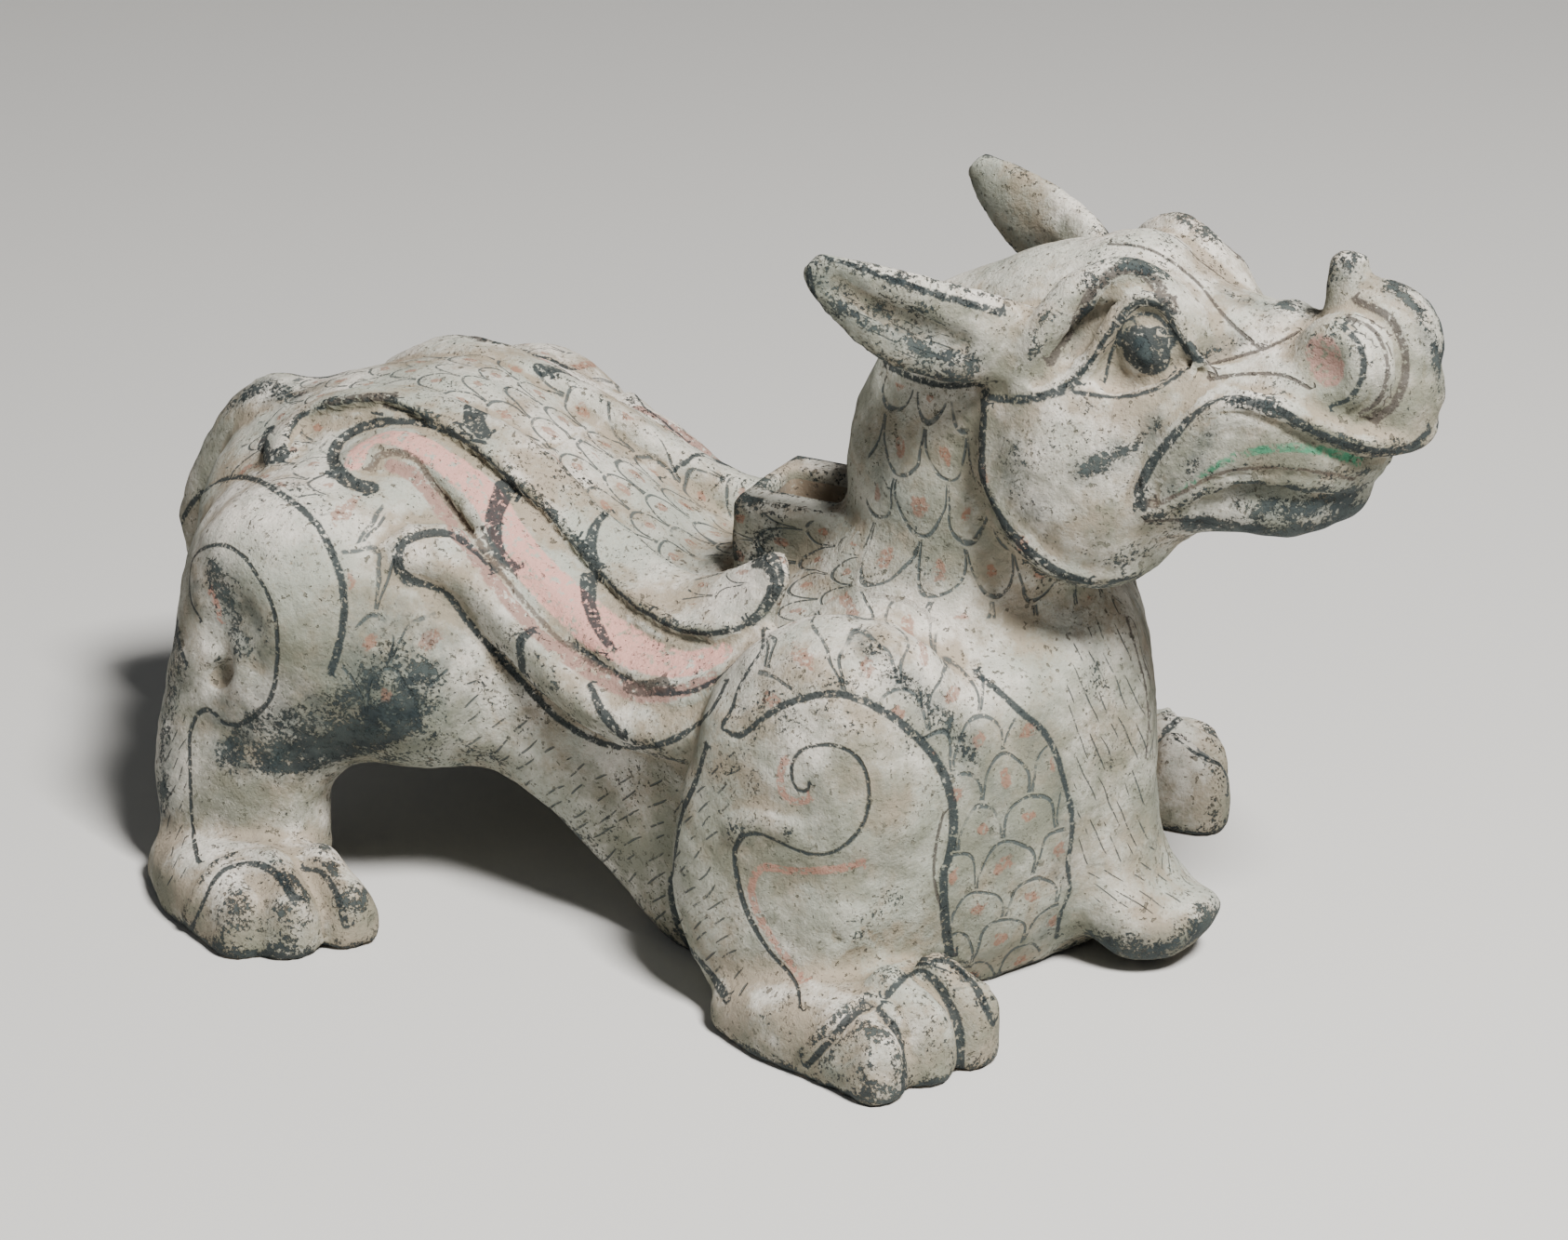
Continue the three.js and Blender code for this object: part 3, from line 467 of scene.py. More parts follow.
# Wing bands: upper edge x y z, lower edge x y z, half thickness
UPPER_BAND = [[17, 54, 145, 29, 64, 141, 4.5], [2, 49, 137, 15, 71, 125, 8],
    [-15, 44, 129, -5, 69, 118, 10], [-31, 40, 130, -22, 62, 119, 9.5],
    [-48, 34, 136, -43, 52, 123, 9], [-67, 30, 146, -64, 45, 134, 9], [-88, 27, 158, -82, 41, 146, 9],
    [-110, 24, 166, -106, 37, 158, 8.5],
    [-138, 20, 169.5, -134, 34, 166, 8], [-163, 19, 165, -158, 35, 166, 7],
    [-184, 28, 156, -176, 38, 159, 6.5], [-190, 42, 150, -178, 48, 154, 6.5],
    [-182, 55, 149, -171, 59, 151, 6.5]]
MIDDLE_BAND = [[24, 66, 128, 29, 77, 119, 4], [10, 66, 121, 20, 84, 108, 9],
    [-8, 64, 117, -2, 86, 101, 10], [-26, 58, 117, -24, 80, 104, 9],
    [-48, 46, 125, -52, 69, 117, 9.5], [-78, 35, 141, -80, 62, 134, 9.5],
    [-104, 30, 157, -108, 54, 149, 9], [-127, 35, 163, -126, 54, 155, 8],
    [-146, 50, 158, -139, 61, 153, 7], [-150, 64, 152, -140, 69, 149, 6.5],
    [-143, 76, 146, -135, 77, 145, 6]]
LOWER_BAND = [[28, 82, 114, 31, 90, 103, 4], [10, 80, 106, 12, 93, 90, 8], [-8, 82, 101, -9, 92, 86, 9],
    [-30, 76, 104, -36, 89, 92, 9],
    [-56, 66, 116, -61, 83, 109, 9], [-80, 62, 134, -86, 81, 125, 9.5],
    [-98, 70, 141, -101, 84, 129, 9.5], [-106, 80, 139, -108, 87, 131, 7.5]]
# Head, built on the middle plane
HEAD = [
    # skull and forehead
    add(ball([108, 0, 209], [40, 39, 37]), 0),
    add(sweep([[66, 0, 208, 28, 21, 0, 1, 0], [86, 0, 222, 30, 21, 0, 1, 0],
        [106, 0, 232, 28, 22, 0, 1, 0], [120, 0, 234, 24, 22, 0, 1, 0]], 2), 8),
    add(ball([129, 0, 234], [24, 27, 27]), 6),
    # jowls
    add(ball([124, 16, 181], [34, 33, 39]), 8),
    add(ball([119, 29, 187], [31, 21, 34]), 6),
    add(ball([115, 24, 204], [31, 19, 22]), 12),
    add(ball([145, 27, 201], [22, 14, 22]), 9),
    # snout, nasal bridge and cheeks
    add(sweep([[138, 0, 206, 36, 24, 0, 1, 0], [158, 0, 210, 36, 23, 0, 1, 0],
        [178, 0, 217, 33, 19, 0, 1, 0], [200, 0, 223, 27, 17, 0, 1, 0], [216, 0, 222, 19, 17, 0, 1, 0],
        [223, 0, 221, 12, 16, 0, 1, 0]], 2.2), 5),
    add(sweep([[140, 0, 236, 22, 19, 0, 1, 0], [158, 0, 233, 18, 13.5, 0, 1, 0],
        [182, 0, 231, 17, 11.5, 0, 1, 0], [198, 0, 231, 14, 10, 0, 1, 0]], 2), 5),
    add(ball([163, 24, 207], [22, 15, 15]), 6),
    # lower jaw
    add(sweep([[128, 0, 176, 41, 22, 0, 1, 0], [150, 0, 180, 38, 17, 0, 1, 0],
        [170, 0, 184, 34, 16, 0, 1, 0], [188, 0, 185, 28, 17, 0, 1, 0],
        [199, 0, 187, 15, 14, 0, 1, 0]], 2.4), 5),
    # mouth set back under the upper lip
    cut(sweep([[157, 45, 189, 4, 5, 0, 0, 1], [166, 46, 202, 6, 8, 0, 0, 1],
        [176, 47, 210, 7, 11, 0, 0, 1], [190, 44, 210, 7, 12, 0, 0, 1], [204, 39, 206, 6, 12, 0, 0, 1],
        [220, 29, 203, 4, 14, 0, 0, 1], [236, 4, 202, 4.5, 20, 0, 0, 1]], 2), 2),
    # gum band, upper lip roll and lower lip roll
    add(sweep([[157, 38, 188, 4, 3, 0, 0, 1], [165, 36, 197, 8, 4.5, 0, 0, 1],
        [176, 34, 207, 11, 5, 0, 0, 1], [190, 30.5, 209, 11.5, 5.5, 0, 0, 1],
        [203, 24, 206, 10, 5.5, 0, 0, 1], [213, 12, 203, 8.5, 5.5, 0, 0, 1],
        [216, 0, 202, 8.5, 5.5, 0, 0, 1]], 2.2), 2),
    add(tube([[151, 39, 181, 2.5], [157, 40, 194, 3.5], [166, 39, 210, 4], [176, 37, 219, 4.5],
        [187, 34, 221, 4.5], [200, 30, 217, 4.5], [213, 23, 211, 4.5], [222, 15, 208, 5],
        [228, 6, 208.5, 5.5], [229, 0, 209, 5.5]]), 2.5),
    add(tube([[155, 39, 182, 2.5], [168, 37, 190, 2.5], [184, 33, 196, 2.5], [198, 27, 195, 3],
        [208, 17, 193, 3.5], [212, 6, 192, 4], [212, 0, 192, 4]]), 2),
    # brow ridge and the furrow in front of it
    add(tube([[107, 39, 221, 5], [112, 38, 234, 6], [118, 33, 244, 6.5], [126, 28, 251, 7],
        [135, 24, 254, 7], [144, 21, 251, 6.5], [152, 19, 244, 5.5], [160, 19, 237, 4]]), 4),
    cut(tube([[111, 44, 219, 2.5], [118, 42, 231, 3.2], [125, 40, 243, 3.6], [132, 37, 251, 3.6],
        [139, 33.5, 256, 3.4], [146, 30, 254.5, 3]]), 2.5),
    # eye: bulge, lid opening, eyeball
    add(ball([143, 17, 231], [21, 15.5, 19], 0, 35), 3),
    cut(ball([145, 36, 231.5], [18, 8.5, 14.5], 0, 40), 1.5),
    add(ball([145, 20, 231.5], [14.5, 13.5, 12.5], 0, 40), 0.8),
    # upper and lower lid lines
    add(tube([[106, 42.5, 216, 2.5], [118, 39.5, 217, 2.8], [127, 35.5, 226, 3.2], [132, 32.5, 236, 3.4],
        [138, 29.5, 245, 3.6], [145, 27.5, 249.5, 3.6], [152.5, 26, 246, 3.4], [158, 26.5, 238, 3],
        [163, 28, 231.5, 2.6], [169, 27, 229, 2]]), 2),
    add(tube([[110, 43, 211, 2], [122, 40.5, 214.5, 2.2], [136, 37.5, 214.5, 2.6], [149, 34, 219, 2.6],
        [161, 30, 227, 2]]), 2),
    # nose curl with its upright tip and the notch before it
    add(ball([214, 0, 238], [21, 15, 20]), 3),
    add(tube([[208, 0, 243, 10], [203.5, 0, 252, 8], [202, 0, 259.5, 5.8]]), 2.5),
    add(tube([[201, 0, 261, 4.8], [206.5, 0, 262.5, 3.4]]), 1.5),
    cut(ball([214.5, 0, 263.5], [4, 30, 5.5]), 1.5),
    # nostril
    add(ball([208, 15, 233], [18, 11, 17]), 3),
    cut(ball([204.5, 28, 235.5], [10, 6, 11.5]), 1.5),
    # bumps of the bridge
    add(ball([168, 0, 238], [5, 14, 5]), 3),
    add(ball([182, 0, 239], [6, 14, 6]), 3)]
# Whole beast, one fired piece
BEAST = [
    add(loft(TORSO, 1.8, 4.5), 0),
    # rump and knee
    add(ball([-148, 66, 98], [58, 44, 52]), 14),
    add(ball([-114, 70, 84], [38, 32, 34], 0, -20), 14),
    # lower hind leg
    add(sweep([[-158, 84, 86, 34, 24, 1, 0, 0], [-169, 89, 62, 34, 21, 1, 0, 0],
        [-173.5, 92, 38, 33, 21, 1, 0, 0], [-171, 93, 14, 31, 22, 1, 0, 0]], 2.4), 18),
    # haunch disc, hock dent and hock fold
    add(ball([-149, 80, 107], [45, 34, 43], -6), 2),
    cut(ball([-166, 120, 106], [22, 12, 27], 0, -20), 5),
    cut(ball([-168, 116, 87], [6, 13, 11], 0, -35), 2.5),
    add(tube([[-198, 84, 60, 8], [-193, 92, 74, 8], [-184, 101, 83, 7], [-176, 105, 88, 5],
        [-170, 107, 92, 3.5]]), 4),
    add(tube([[-158, 108, 96, 5], [-157, 109, 86, 5], [-160, 108, 78, 4.5]]), 5),
    # shoulder and foreleg
    add(ball([62, 76, 90], [50, 34, 48]), 10),
    add(sweep([[58, 84, 84, 45, 27, 1, 0, 0], [54, 88, 62, 47, 26, 1, 0, 0],
        [55, 90, 42, 48, 26, 1, 0, 0], [63, 92, 22, 42, 26, 1, 0, 0],
        [68, 93, 8, 36, 26, 1, 0, 0]], 2.8), 6),
    limit(prow(KEEL), 10),
    # neck
    add(sweep([[62, 0, 110, 56, 54, 0, 1, 0], [72, 0, 140, 44, 46, 0, 1, 0],
        [76, 0, 170, 40, 50, 0, 1, 0], [86, 0, 200, 38, 46, 0, 1, 0]], 2), 14),
    # tail with its knob
    add(tube([[-196, 0, 130, 18], [-212, 0, 137, 17], [-230, 0, 119, 16], [-241, 0, 92, 15],
        [-238, 0, 62, 12], [-230, 0, 44, 9]]), 4),
    add(ball([-249, 3, 94], [8, 8, 8]), 3),
    add(group(HEAD), 5),
    # hollow under the jowl and the jowl's rim
    cut(tube([[88, 46, 206, 3.5], [88, 49, 185, 4.5], [96, 53, 168, 5.5], [108, 54, 156, 6],
        [121, 50, 148, 6], [134, 42, 145, 5]]), 3),
    add(tube([[96, 41, 208, 2.5], [96, 43, 187, 3.5], [104, 45.5, 173, 4], [114, 45.5, 163, 4.5],
        [124, 42, 156.5, 4.5], [134, 36, 154, 4], [144, 30, 156, 3.5]]), 3),
    # ears, hollowed on the outer side
    add(carved(sweep([[102, 36, 229, 14, 7, 0, 0, 1], [88, 47, 233, 17, 6.5, 0, 0, 1],
        [70, 55, 238.5, 16.5, 6, 0, 0, 1], [54, 59, 246, 12.5, 5, 0, 0, 1],
        [42, 62, 253.5, 6, 3.5, 0, 0, 1]], 2),
        sweep([[94, 57, 230, 9, 6, 0, 0, 1], [78, 62, 235, 12, 6, 0, 0, 1],
            [60, 67, 243, 10, 5, 0, 0, 1], [48, 69, 250, 5, 4, 0, 0, 1]], 2), 2), 4),
    # wings
    add(sweep(band(LOWER_BAND, 2, 2), 3.5), 1.5),
    add(sweep(band(MIDDLE_BAND, 2.5, 1), 3.5), 0.8),
    add(sweep(band(UPPER_BAND, 0.5, 1), 3.5), 0.8),
    # beard
    add(sweep([[124, 0, 60, 14, 10, 0, 1, 0], [127, 0, 38, 22, 14, 0, 1, 0],
        [136, 0, 20, 26, 16, 0, 1, 0], [149, 0, 15, 21, 12, 0, 1, 0],
        [160, 0, 20, 11, 6, 0, 1, 0]], 2.2), 8),
    # forepaw: foot, then three toes
    add(sweep([[46, 108, 5, 19, 14, 0, 1, 0], [66, 110, 6, 26, 19, 0, 1, 0],
        [86, 112, 6, 29, 23, 0, 1, 0]], 2.8), 6),
    add(claws([[86, 130, 4, 12, 24, 102, 136, 3, 11, 22], [94, 115, 6, 12, 30, 110, 118, 4, 11, 25],
        [104, 100, 6, 11, 30, 119, 101, 4, 10, 25]]), 2),
    # hind paw
    add(sweep([[-182, 105, 3, 20, 18, 0, 1, 0], [-164, 115, 5, 26, 20, 0.3, 1, 0],
        [-148, 121, 5, 28, 22, 0.5, 1, 0]], 2.8), 6),
    add(claws([[-155, 134, 3, 12, 22, -141, 144, 2, 11, 21], [-142, 125, 4, 12, 26, -126, 137, 2, 11, 23],
        [-130, 113, 4, 12, 25, -112, 121, 2, 11, 21]]), 2),
    # post collar and its socket, then the flat standing plane
    add(box([16, 0, 126], [27, 25, 25], 4), 6),
    cut(box([13, 0, 162], [17, 11, 50], 1), 1.5),
    limit(floor(), 3)]


def beast_distance(P):
    """Distance of points from the beast, the right half folded onto the left."""
    P = np.array(P, real)
    P[:, 1] = np.abs(P[:, 1])
    return run(BEAST, P)


def sampled(low, high, step):
    """The distance on a grid, exact near the surface and only its sign elsewhere.

    A coarse grid is worked out first, and the fine one only in and beside its near cells.
    """
    low = np.array(low)
    n = np.ceil((np.array(high) - low) / step / COARSE).astype(int) * COARSE + 1
    coarse_n = (n - 1) // COARSE + 1
    axes = [low[i] + step * COARSE * np.arange(coarse_n[i]) for i in range(3)]
    P = np.stack(np.meshgrid(*axes, indexing="ij"), -1).reshape(-1, 3)
    coarse = beast_distance(P).reshape(coarse_n)

    def spread(a):
        """Each coarse value over the fine steps of its cell."""
        for axis in range(3):
            a = np.repeat(a, COARSE, axis)
        return a[:n[0], :n[1], :n[2]]

    near = np.abs(coarse) < step * COARSE * NEAR_CELLS
    for axis in range(3):
        reached = near.copy()
        before = [slice(None)] * 3
        after = [slice(None)] * 3
        before[axis] = slice(0, -1)
        after[axis] = slice(1, None)
        reached[tuple(before)] |= near[tuple(after)]
        near = reached
    values = spread(np.where(coarse > 0, FAR, -FAR).astype(real)).copy()
    mask = spread(near)
    P = low + np.argwhere(mask) * step
    values[mask] = np.concatenate([
        beast_distance(P[i:i + CHUNK]) for i in range(0, len(P), CHUNK)])
    return values, low


def surface_nets(values, low, step):
    """One vertex in each grid cell that the surface passes, one quad round each crossed edge.

    The vertex is the mean of the places where the distance, taken as straight along each edge
    of the cell, is zero.
    """
    n = np.array(values.shape)
    inside = values < 0
    corners = [(i, j, k) for i in (0, 1) for j in (0, 1) for k in (0, 1)]
    count = sum(inside[i:n[0] - 1 + i, j:n[1] - 1 + j, k:n[2] - 1 + k].astype(np.int8)
                for i, j, k in corners)
    cells = np.argwhere((count > 0) & (count < 8))
    index = -np.ones(n - 1, np.int32)
    index[tuple(cells.T)] = np.arange(len(cells))
    total = np.zeros((len(cells), 3))
    hits = np.zeros(len(cells))
    for a in corners:
        for b in corners:
            if a >= b or sum(abs(p - q) for p, q in zip(a, b)) != 1:
                continue
            va = values[tuple((cells + a).T)]
            vb = values[tuple((cells + b).T)]
            crossed = (va < 0) != (vb < 0)
            t = np.where(crossed, va / np.where(va == vb, 1, va - vb), 0)
            at = np.array(a) + np.subtract(b, a) * t[:, None]
            total[crossed] += at[crossed]
            hits[crossed] += 1
    points = low + (cells + total / hits[:, None]) * step
    quads = []
    for axis in range(3):
        u, v = (axis + 1) % 3, (axis + 2) % 3
        A = np.take(inside, range(n[axis] - 1), axis)
        B = np.take(inside, range(1, n[axis]), axis)
        edge = np.argwhere(A != B)
        edge = edge[(edge[:, u] > 0) & (edge[:, v] > 0)
                    & (edge[:, u] < n[u] - 1) & (edge[:, v] < n[v] - 1)]
        ring = []
        for du, dv in ((-1, -1), (0, -1), (0, 0), (-1, 0)):
            cell = edge.copy()
            cell[:, u] += du
            cell[:, v] += dv
            ring.append(index[tuple(cell.T)])
        ring = np.stack(ring, 1)
        outward = A[tuple(edge.T)]
        ring[~outward] = ring[~outward][:, ::-1]
        quads.append(ring)
    return points, np.vstack(quads)


def largest_shell(points, quads):
    """Only the shell with the most vertices.

    Each vertex takes the lowest label of its quads until nothing changes, which leaves one
    label to each shell.
    """
    label = np.arange(len(points))
    while True:
        lowest = label[quads].min(1)
        new = label.copy()
        for i in range(4):
            np.minimum.at(new, quads[:, i], lowest)
        new = new[new]
        if (new == label).all():
            break
        label = new
    keep = label == np.bincount(label).argmax()
    renumber = np.cumsum(keep) - 1
    return points[keep], renumber[quads[keep[quads[:, 0]]]]


def relaxed(points, quads, passes, share):
    """Each vertex moved a share of the way to the mean of its quads' corners."""
    for i in range(passes):
        total = np.zeros_like(points)
        count = np.zeros(len(points))
        middle = points[quads].mean(1)
        for j in range(4):
            for axis in range(3):
                total[:, axis] += np.bincount(quads[:, j], middle[:, axis], len(points))
            count += np.bincount(quads[:, j], minlength=len(points))
        points = points + share * (total / count[:, None] - points)
    return points


def normals_of(points, quads):
    """Vertex normals, from the cross product of each quad's diagonals."""
    p = points[quads]
    face = np.cross(p[:, 2] - p[:, 0], p[:, 3] - p[:, 1])
    out = np.zeros_like(points)
    for j in range(4):
        for axis in range(3):
            out[:, axis] += np.bincount(quads[:, j], face[:, axis], len(points))
    return out / np.maximum(np.linalg.norm(out, axis=1), 1e-9)[:, None]


def waves(P, size, seed, count=12):
    """Smooth noise between about -1 and 1: a sum of plane waves in random directions.

    Each wave is the sine of the point along its direction over its length, plus a phase.
    """
    rng = np.random.default_rng(SEED + seed)
    way = rng.normal(size=(count, 3))
    way /= np.linalg.norm(way, axis=1)[:, None]
    way *= (2 * np.pi / (size * rng.uniform(0.7, 1.5, count)))[:, None]
    return np.sin(P @ way.T + rng.uniform(0, 2 * np.pi, count)).sum(1) / math.sqrt(count / 2) / 2


def photo_camera():
    """Place and axes of the camera of the photograph, millimetres.

    It stands back from its aim by its distance, towards its azimuth and elevation.
    """
    a, e = math.radians(CAMERA_AZIMUTH), math.radians(CAMERA_ELEVATION)
    back = np.array([math.sin(a) * math.cos(e), -math.cos(a) * math.cos(e), math.sin(e)])
    right = np.array([math.cos(a), math.sin(a), 0])
    return np.array(CAMERA_AIM) + back * CAMERA_DISTANCE, back, right, np.cross(back, right)


# Brush lines, as pixels of the photograph: half width in millimetres at both ends, then points

SLATE = 1.0
GREY = 0.55
BROWN = 0.25

BROAD_LINES = (
    # shoulder circle, back of the foreleg, wing root, mane edge and keel
    (1.1, 2.1, SLATE, ((782, 788), (798, 790), (816, 776), (836, 762), (860, 752), (896, 746),
        (924, 752), (952, 766), (976, 784), (998, 806), (1014, 832), (1023, 860), (1025, 888),
        (1021, 916), (1014, 940), (1014, 964), (1016, 992), (1020, 1026))),
    (1.4, 1.8, SLATE, ((760, 800), (748, 840), (734, 872), (728, 904), (724, 932), (722, 960),
        (728, 992), (742, 1020), (765, 1048), (782, 1074))),
    (0.8, 1.0, SLATE, ((820, 676), (820, 696), (808, 716), (794, 740), (786, 764), (776, 780))),
    (1.3, 1.0, SLATE, ((1048, 722), (1072, 742), (1096, 764), (1120, 784), (1136, 812), (1144, 840),
        (1152, 872), (1152, 904), (1148, 928), (1150, 956), (1140, 984), (1136, 1008))),
    (0.6, 0.5, GREY, ((1200, 636), (1211, 664), (1222, 700), (1231, 736), (1235, 776), (1232, 816))),
    # haunch circle
    (1.0, 1.5, SLATE, ((202, 717), (192, 690), (187, 653), (186, 620), (190, 580), (201, 550),
        (217, 530), (237, 517), (257, 513), (280, 518), (303, 532), (327, 550), (345, 570), (358, 597),
        (367, 623), (370, 650), (368, 677), (362, 703), (355, 723))),
    # upper band: back curl, worn patch, lower lip and its dark root curl
    (3.0, 3.4, SLATE, ((289, 463), (284, 480), (289, 491), (302, 488))),
    (1.5, 2.3, GREY, ((353, 433), (393, 427), (423, 425))),
    (0.8, 1.1, SLATE, ((310, 470), (322, 449), (350, 437), (390, 431), (417, 430), (437, 438),
        (460, 450), (483, 462), (503, 477), (522, 493), (546, 512), (565, 532), (588, 551), (608, 575),
        (627, 598), (647, 617), (670, 641), (697, 660), (729, 677), (756, 681), (787, 678), (808, 668))),
    (1.6, 4.2, SLATE, ((808, 668), (822, 654), (832, 636), (834, 616), (826, 602), (814, 600))),
    (4.6, 3.0, SLATE, ((512, 440), (510, 453), (520, 467))),
    (1.0, 3.2, SLATE, ((655, 547), (640, 566), (634, 590), (638, 610))),
    # middle band: hook, upper line, cross marks, lower lines
    (3.4, 3.0, SLATE, ((398, 526), (377, 521), (363, 507))),
    (2.8, 0.9, SLATE, ((363, 507), (359, 490), (367, 473), (387, 460), (413, 454), (447, 454),
        (477, 463), (507, 478), (530, 498))),
    (1.6, 0.7, BROWN, ((400, 506), (406, 492), (425, 486), (448, 494), (462, 513), (483, 541),
        (513, 580), (537, 613), (562, 645), (600, 686), (640, 716), (670, 728))),
    (3.8, 1.4, SLATE, ((543, 524), (531, 558), (537, 593), (556, 612))),
    (3.2, 1.2, SLATE, ((633, 622), (634, 650), (646, 680), (660, 700))),
    (2.6, 3.2, GREY, ((676, 738), (695, 740), (712, 736))),
    (0.9, 0.9, SLATE, ((618, 693), (660, 722), (700, 744), (740, 744), (768, 732), (790, 712))),
    # lower band: rounded end, lower edge, cross marks
    (1.0, 2.4, SLATE, ((530, 615), (510, 592), (490, 577), (467, 573), (440, 580), (428, 594),
        (429, 611), (440, 624))),
    (1.4, 1.2, SLATE, ((440, 624), (460, 629), (483, 641), (500, 664), (522, 690), (545, 715),
        (575, 748), (602, 774), (642, 797), (683, 804), (724, 795), (762, 767), (782, 732))),
    (1.2, 2.4, SLATE, ((574, 676), (560, 690), (562, 722))),
    (1.0, 2.6, SLATE, ((634, 736), (641, 752), (652, 772), (668, 792))),
    # head: lids, iris, brow, lips, jowl, nostril and curl
    (1.0, 1.2, SLATE, ((1062, 427), (1108, 427), (1150, 412), (1172, 390), (1190, 362), (1210, 334),
        (1231, 324), (1254, 335), (1266, 360), (1280, 383), (1292, 388))),
    (0.7, 0.9, SLATE, ((1062, 430), (1108, 432), (1150, 422), (1198, 427), (1240, 419), (1272, 400))),
    (0.7, 0.7, SLATE, ((1188, 411), (1196, 376), (1212, 345), (1236, 337), (1254, 350), (1262, 372))),
    (7.6, 7.6, SLATE, ((1222, 374), (1234, 384))),
    (1.6, 2.6, GREY, ((1129, 390), (1153, 350), (1176, 312), (1202, 290), (1228, 291), (1246, 308),
        (1260, 326))),
    (1.9, 1.4, SLATE, ((1228, 545), (1225, 526), (1240, 496), (1270, 460), (1300, 434), (1324, 428),
        (1372, 440), (1420, 467), (1468, 483), (1512, 482), (1538, 462))),
    (0.8, 0.8, BROWN, ((1240, 545), (1264, 533), (1312, 509), (1360, 503), (1408, 506), (1456, 515))),
    (2.0, 1.6, SLATE, ((1058, 424), (1056, 514), (1079, 562), (1108, 594), (1140, 616), (1172, 626))),
    (1.2, 0.8, SLATE, ((1444, 350), (1462, 372), (1466, 400), (1452, 428), (1430, 436))),
    (0.8, 1.0, GREY, ((1448, 340), (1478, 356), (1492, 392), (1484, 428), (1462, 446))),
    (1.2, 1.6, GREY, ((1456, 322), (1496, 344), (1512, 392), (1500, 434), (1474, 452))),
    # ear rims
    (1.0, 1.5, SLATE, ((872, 272), (920, 286), (970, 304), (1020, 320), (1078, 336))),
    (1.4, 1.0, SLATE, ((868, 284), (876, 318), (910, 358), (960, 396), (1010, 414), (1050, 412))),
    (1.0, 1.4, SLATE, ((1052, 168), (1100, 200), (1144, 234), (1180, 254))),
    # paws: folds over the toes
    (1.2, 1.8, SLATE, ((868, 1146), (884, 1128), (900, 1110), (914, 1094), (931, 1081))),
    (1.4, 2.2, SLATE, ((945, 1086), (964, 1110), (973, 1140), (972, 1172))),
    (1.2, 2.0, SLATE, ((952, 1072), (973, 1050), (994, 1046), (1014, 1066), (1030, 1104), (1031, 1148))),
    (1.0, 1.6, SLATE, ((984, 1030), (1022, 1036), (1048, 1060), (1068, 1100))),
    (1.0, 1.8, SLATE, ((206, 1000), (232, 944), (256, 930), (280, 930), (304, 946), (318, 970))),
    (0.9, 1.5, SLATE, ((324, 934), (346, 938), (362, 962), (372, 996))),
    (0.9, 1.4, SLATE, ((370, 928), (392, 930), (408, 950), (420, 980))),
)

FINE_LINES = (
    # spiral of the shoulder, with its tail down the foreleg
    (0.55, 0.65, SLATE, ((870, 840), (868, 850), (858, 850), (852, 840), (851, 824), (858, 810),
        (872, 803), (892, 801), (912, 807), (926, 820), (933, 840), (934, 864), (928, 886), (914, 904),
        (896, 916), (876, 919), (856, 914), (836, 904), (816, 896))),
    (0.8, 1.1, SLATE, ((816, 896), (800, 898), (790, 914), (792, 940), (798, 968))),
    (1.1, 0.4, SLATE, ((798, 968), (810, 996), (828, 1024), (848, 1046), (858, 1064), (860, 1088))),
    # curl of the haunch, with its tail down the hind leg
    (0.6, 0.9, SLATE, ((217, 667), (206, 647), (204, 620), (209, 598), (223, 588), (243, 587),
        (263, 600), (277, 620), (288, 640), (295, 660), (298, 687), (297, 720), (292, 747), (277, 767),
        (257, 780))),
    (0.9, 0.8, SLATE, ((257, 780), (240, 777), (232, 768), (222, 763), (211, 770), (204, 790),
        (204, 817), (205, 860), (208, 900), (213, 928))),
    # jaw and chin
    (0.7, 0.6, GREY, ((1230, 560), (1290, 560), (1340, 574), (1400, 580), (1450, 566))),
    # folds before the eye and along the nose bridge
    (0.6, 0.6, GREY, ((1190, 262), (1236, 268), (1284, 300), (1320, 344), (1352, 372))),
    (0.6, 0.5, GREY, ((1296, 392), (1330, 384), (1366, 372), (1398, 356))),
    (0.7, 0.5, GREY, ((1300, 408), (1340, 402), (1380, 404), (1412, 420))),
    # wisps at the mane's lower edge
    (0.5, 0.5, GREY, ((1016, 870), (1008, 900), (1004, 940), (1012, 980))),
)

RED_LINES = (
    (1.5, 1.4, 1.0, ((928, 926), (904, 934), (876, 936), (848, 936), (824, 932), (812, 940), (808, 960),
        (814, 980), (824, 1000), (838, 1020), (854, 1040), (864, 1056))),
    (1.5, 1.2, 0.8, ((844, 816), (839, 836), (842, 854), (856, 862), (872, 858))),
    (1.5, 1.0, 0.5, ((226, 636), (234, 650), (236, 668))),
)

GREEN_LINES = (
    (1.0, 1.8, 1.0, ((1266, 530), (1290, 513), (1314, 498), (1342, 487), (1384, 481), (1424, 485),
        (1462, 496))),
)

PINK_LINES = (
    (3.6, 6.4, 1.0, ((380, 497), (391, 478), (417, 469), (447, 476), (477, 494), (507, 517), (530, 542))),
    (6.4, 8.0, 1.0, ((530, 542), (552, 578), (580, 614), (612, 646), (648, 678))),
    (8.0, 4.6, 0.9, ((648, 678), (692, 704), (735, 714), (775, 704))),
)

# Brown-pink roll under the middle band, a darker pink that is partly painted shade on the rolled edge,
# and inside the nostril
ROLL_LINES = (
    (2.6, 3.6, 1.0, ((420, 500), (446, 512), (470, 542), (500, 586), (534, 628), (572, 672), (612, 706),
        (650, 730))),
    (3.6, 2.4, 1.0, ((650, 730), (690, 746), (730, 744), (766, 728))),
    (6.4, 6.0, 1.0, ((1424, 380), (1430, 396))),
)
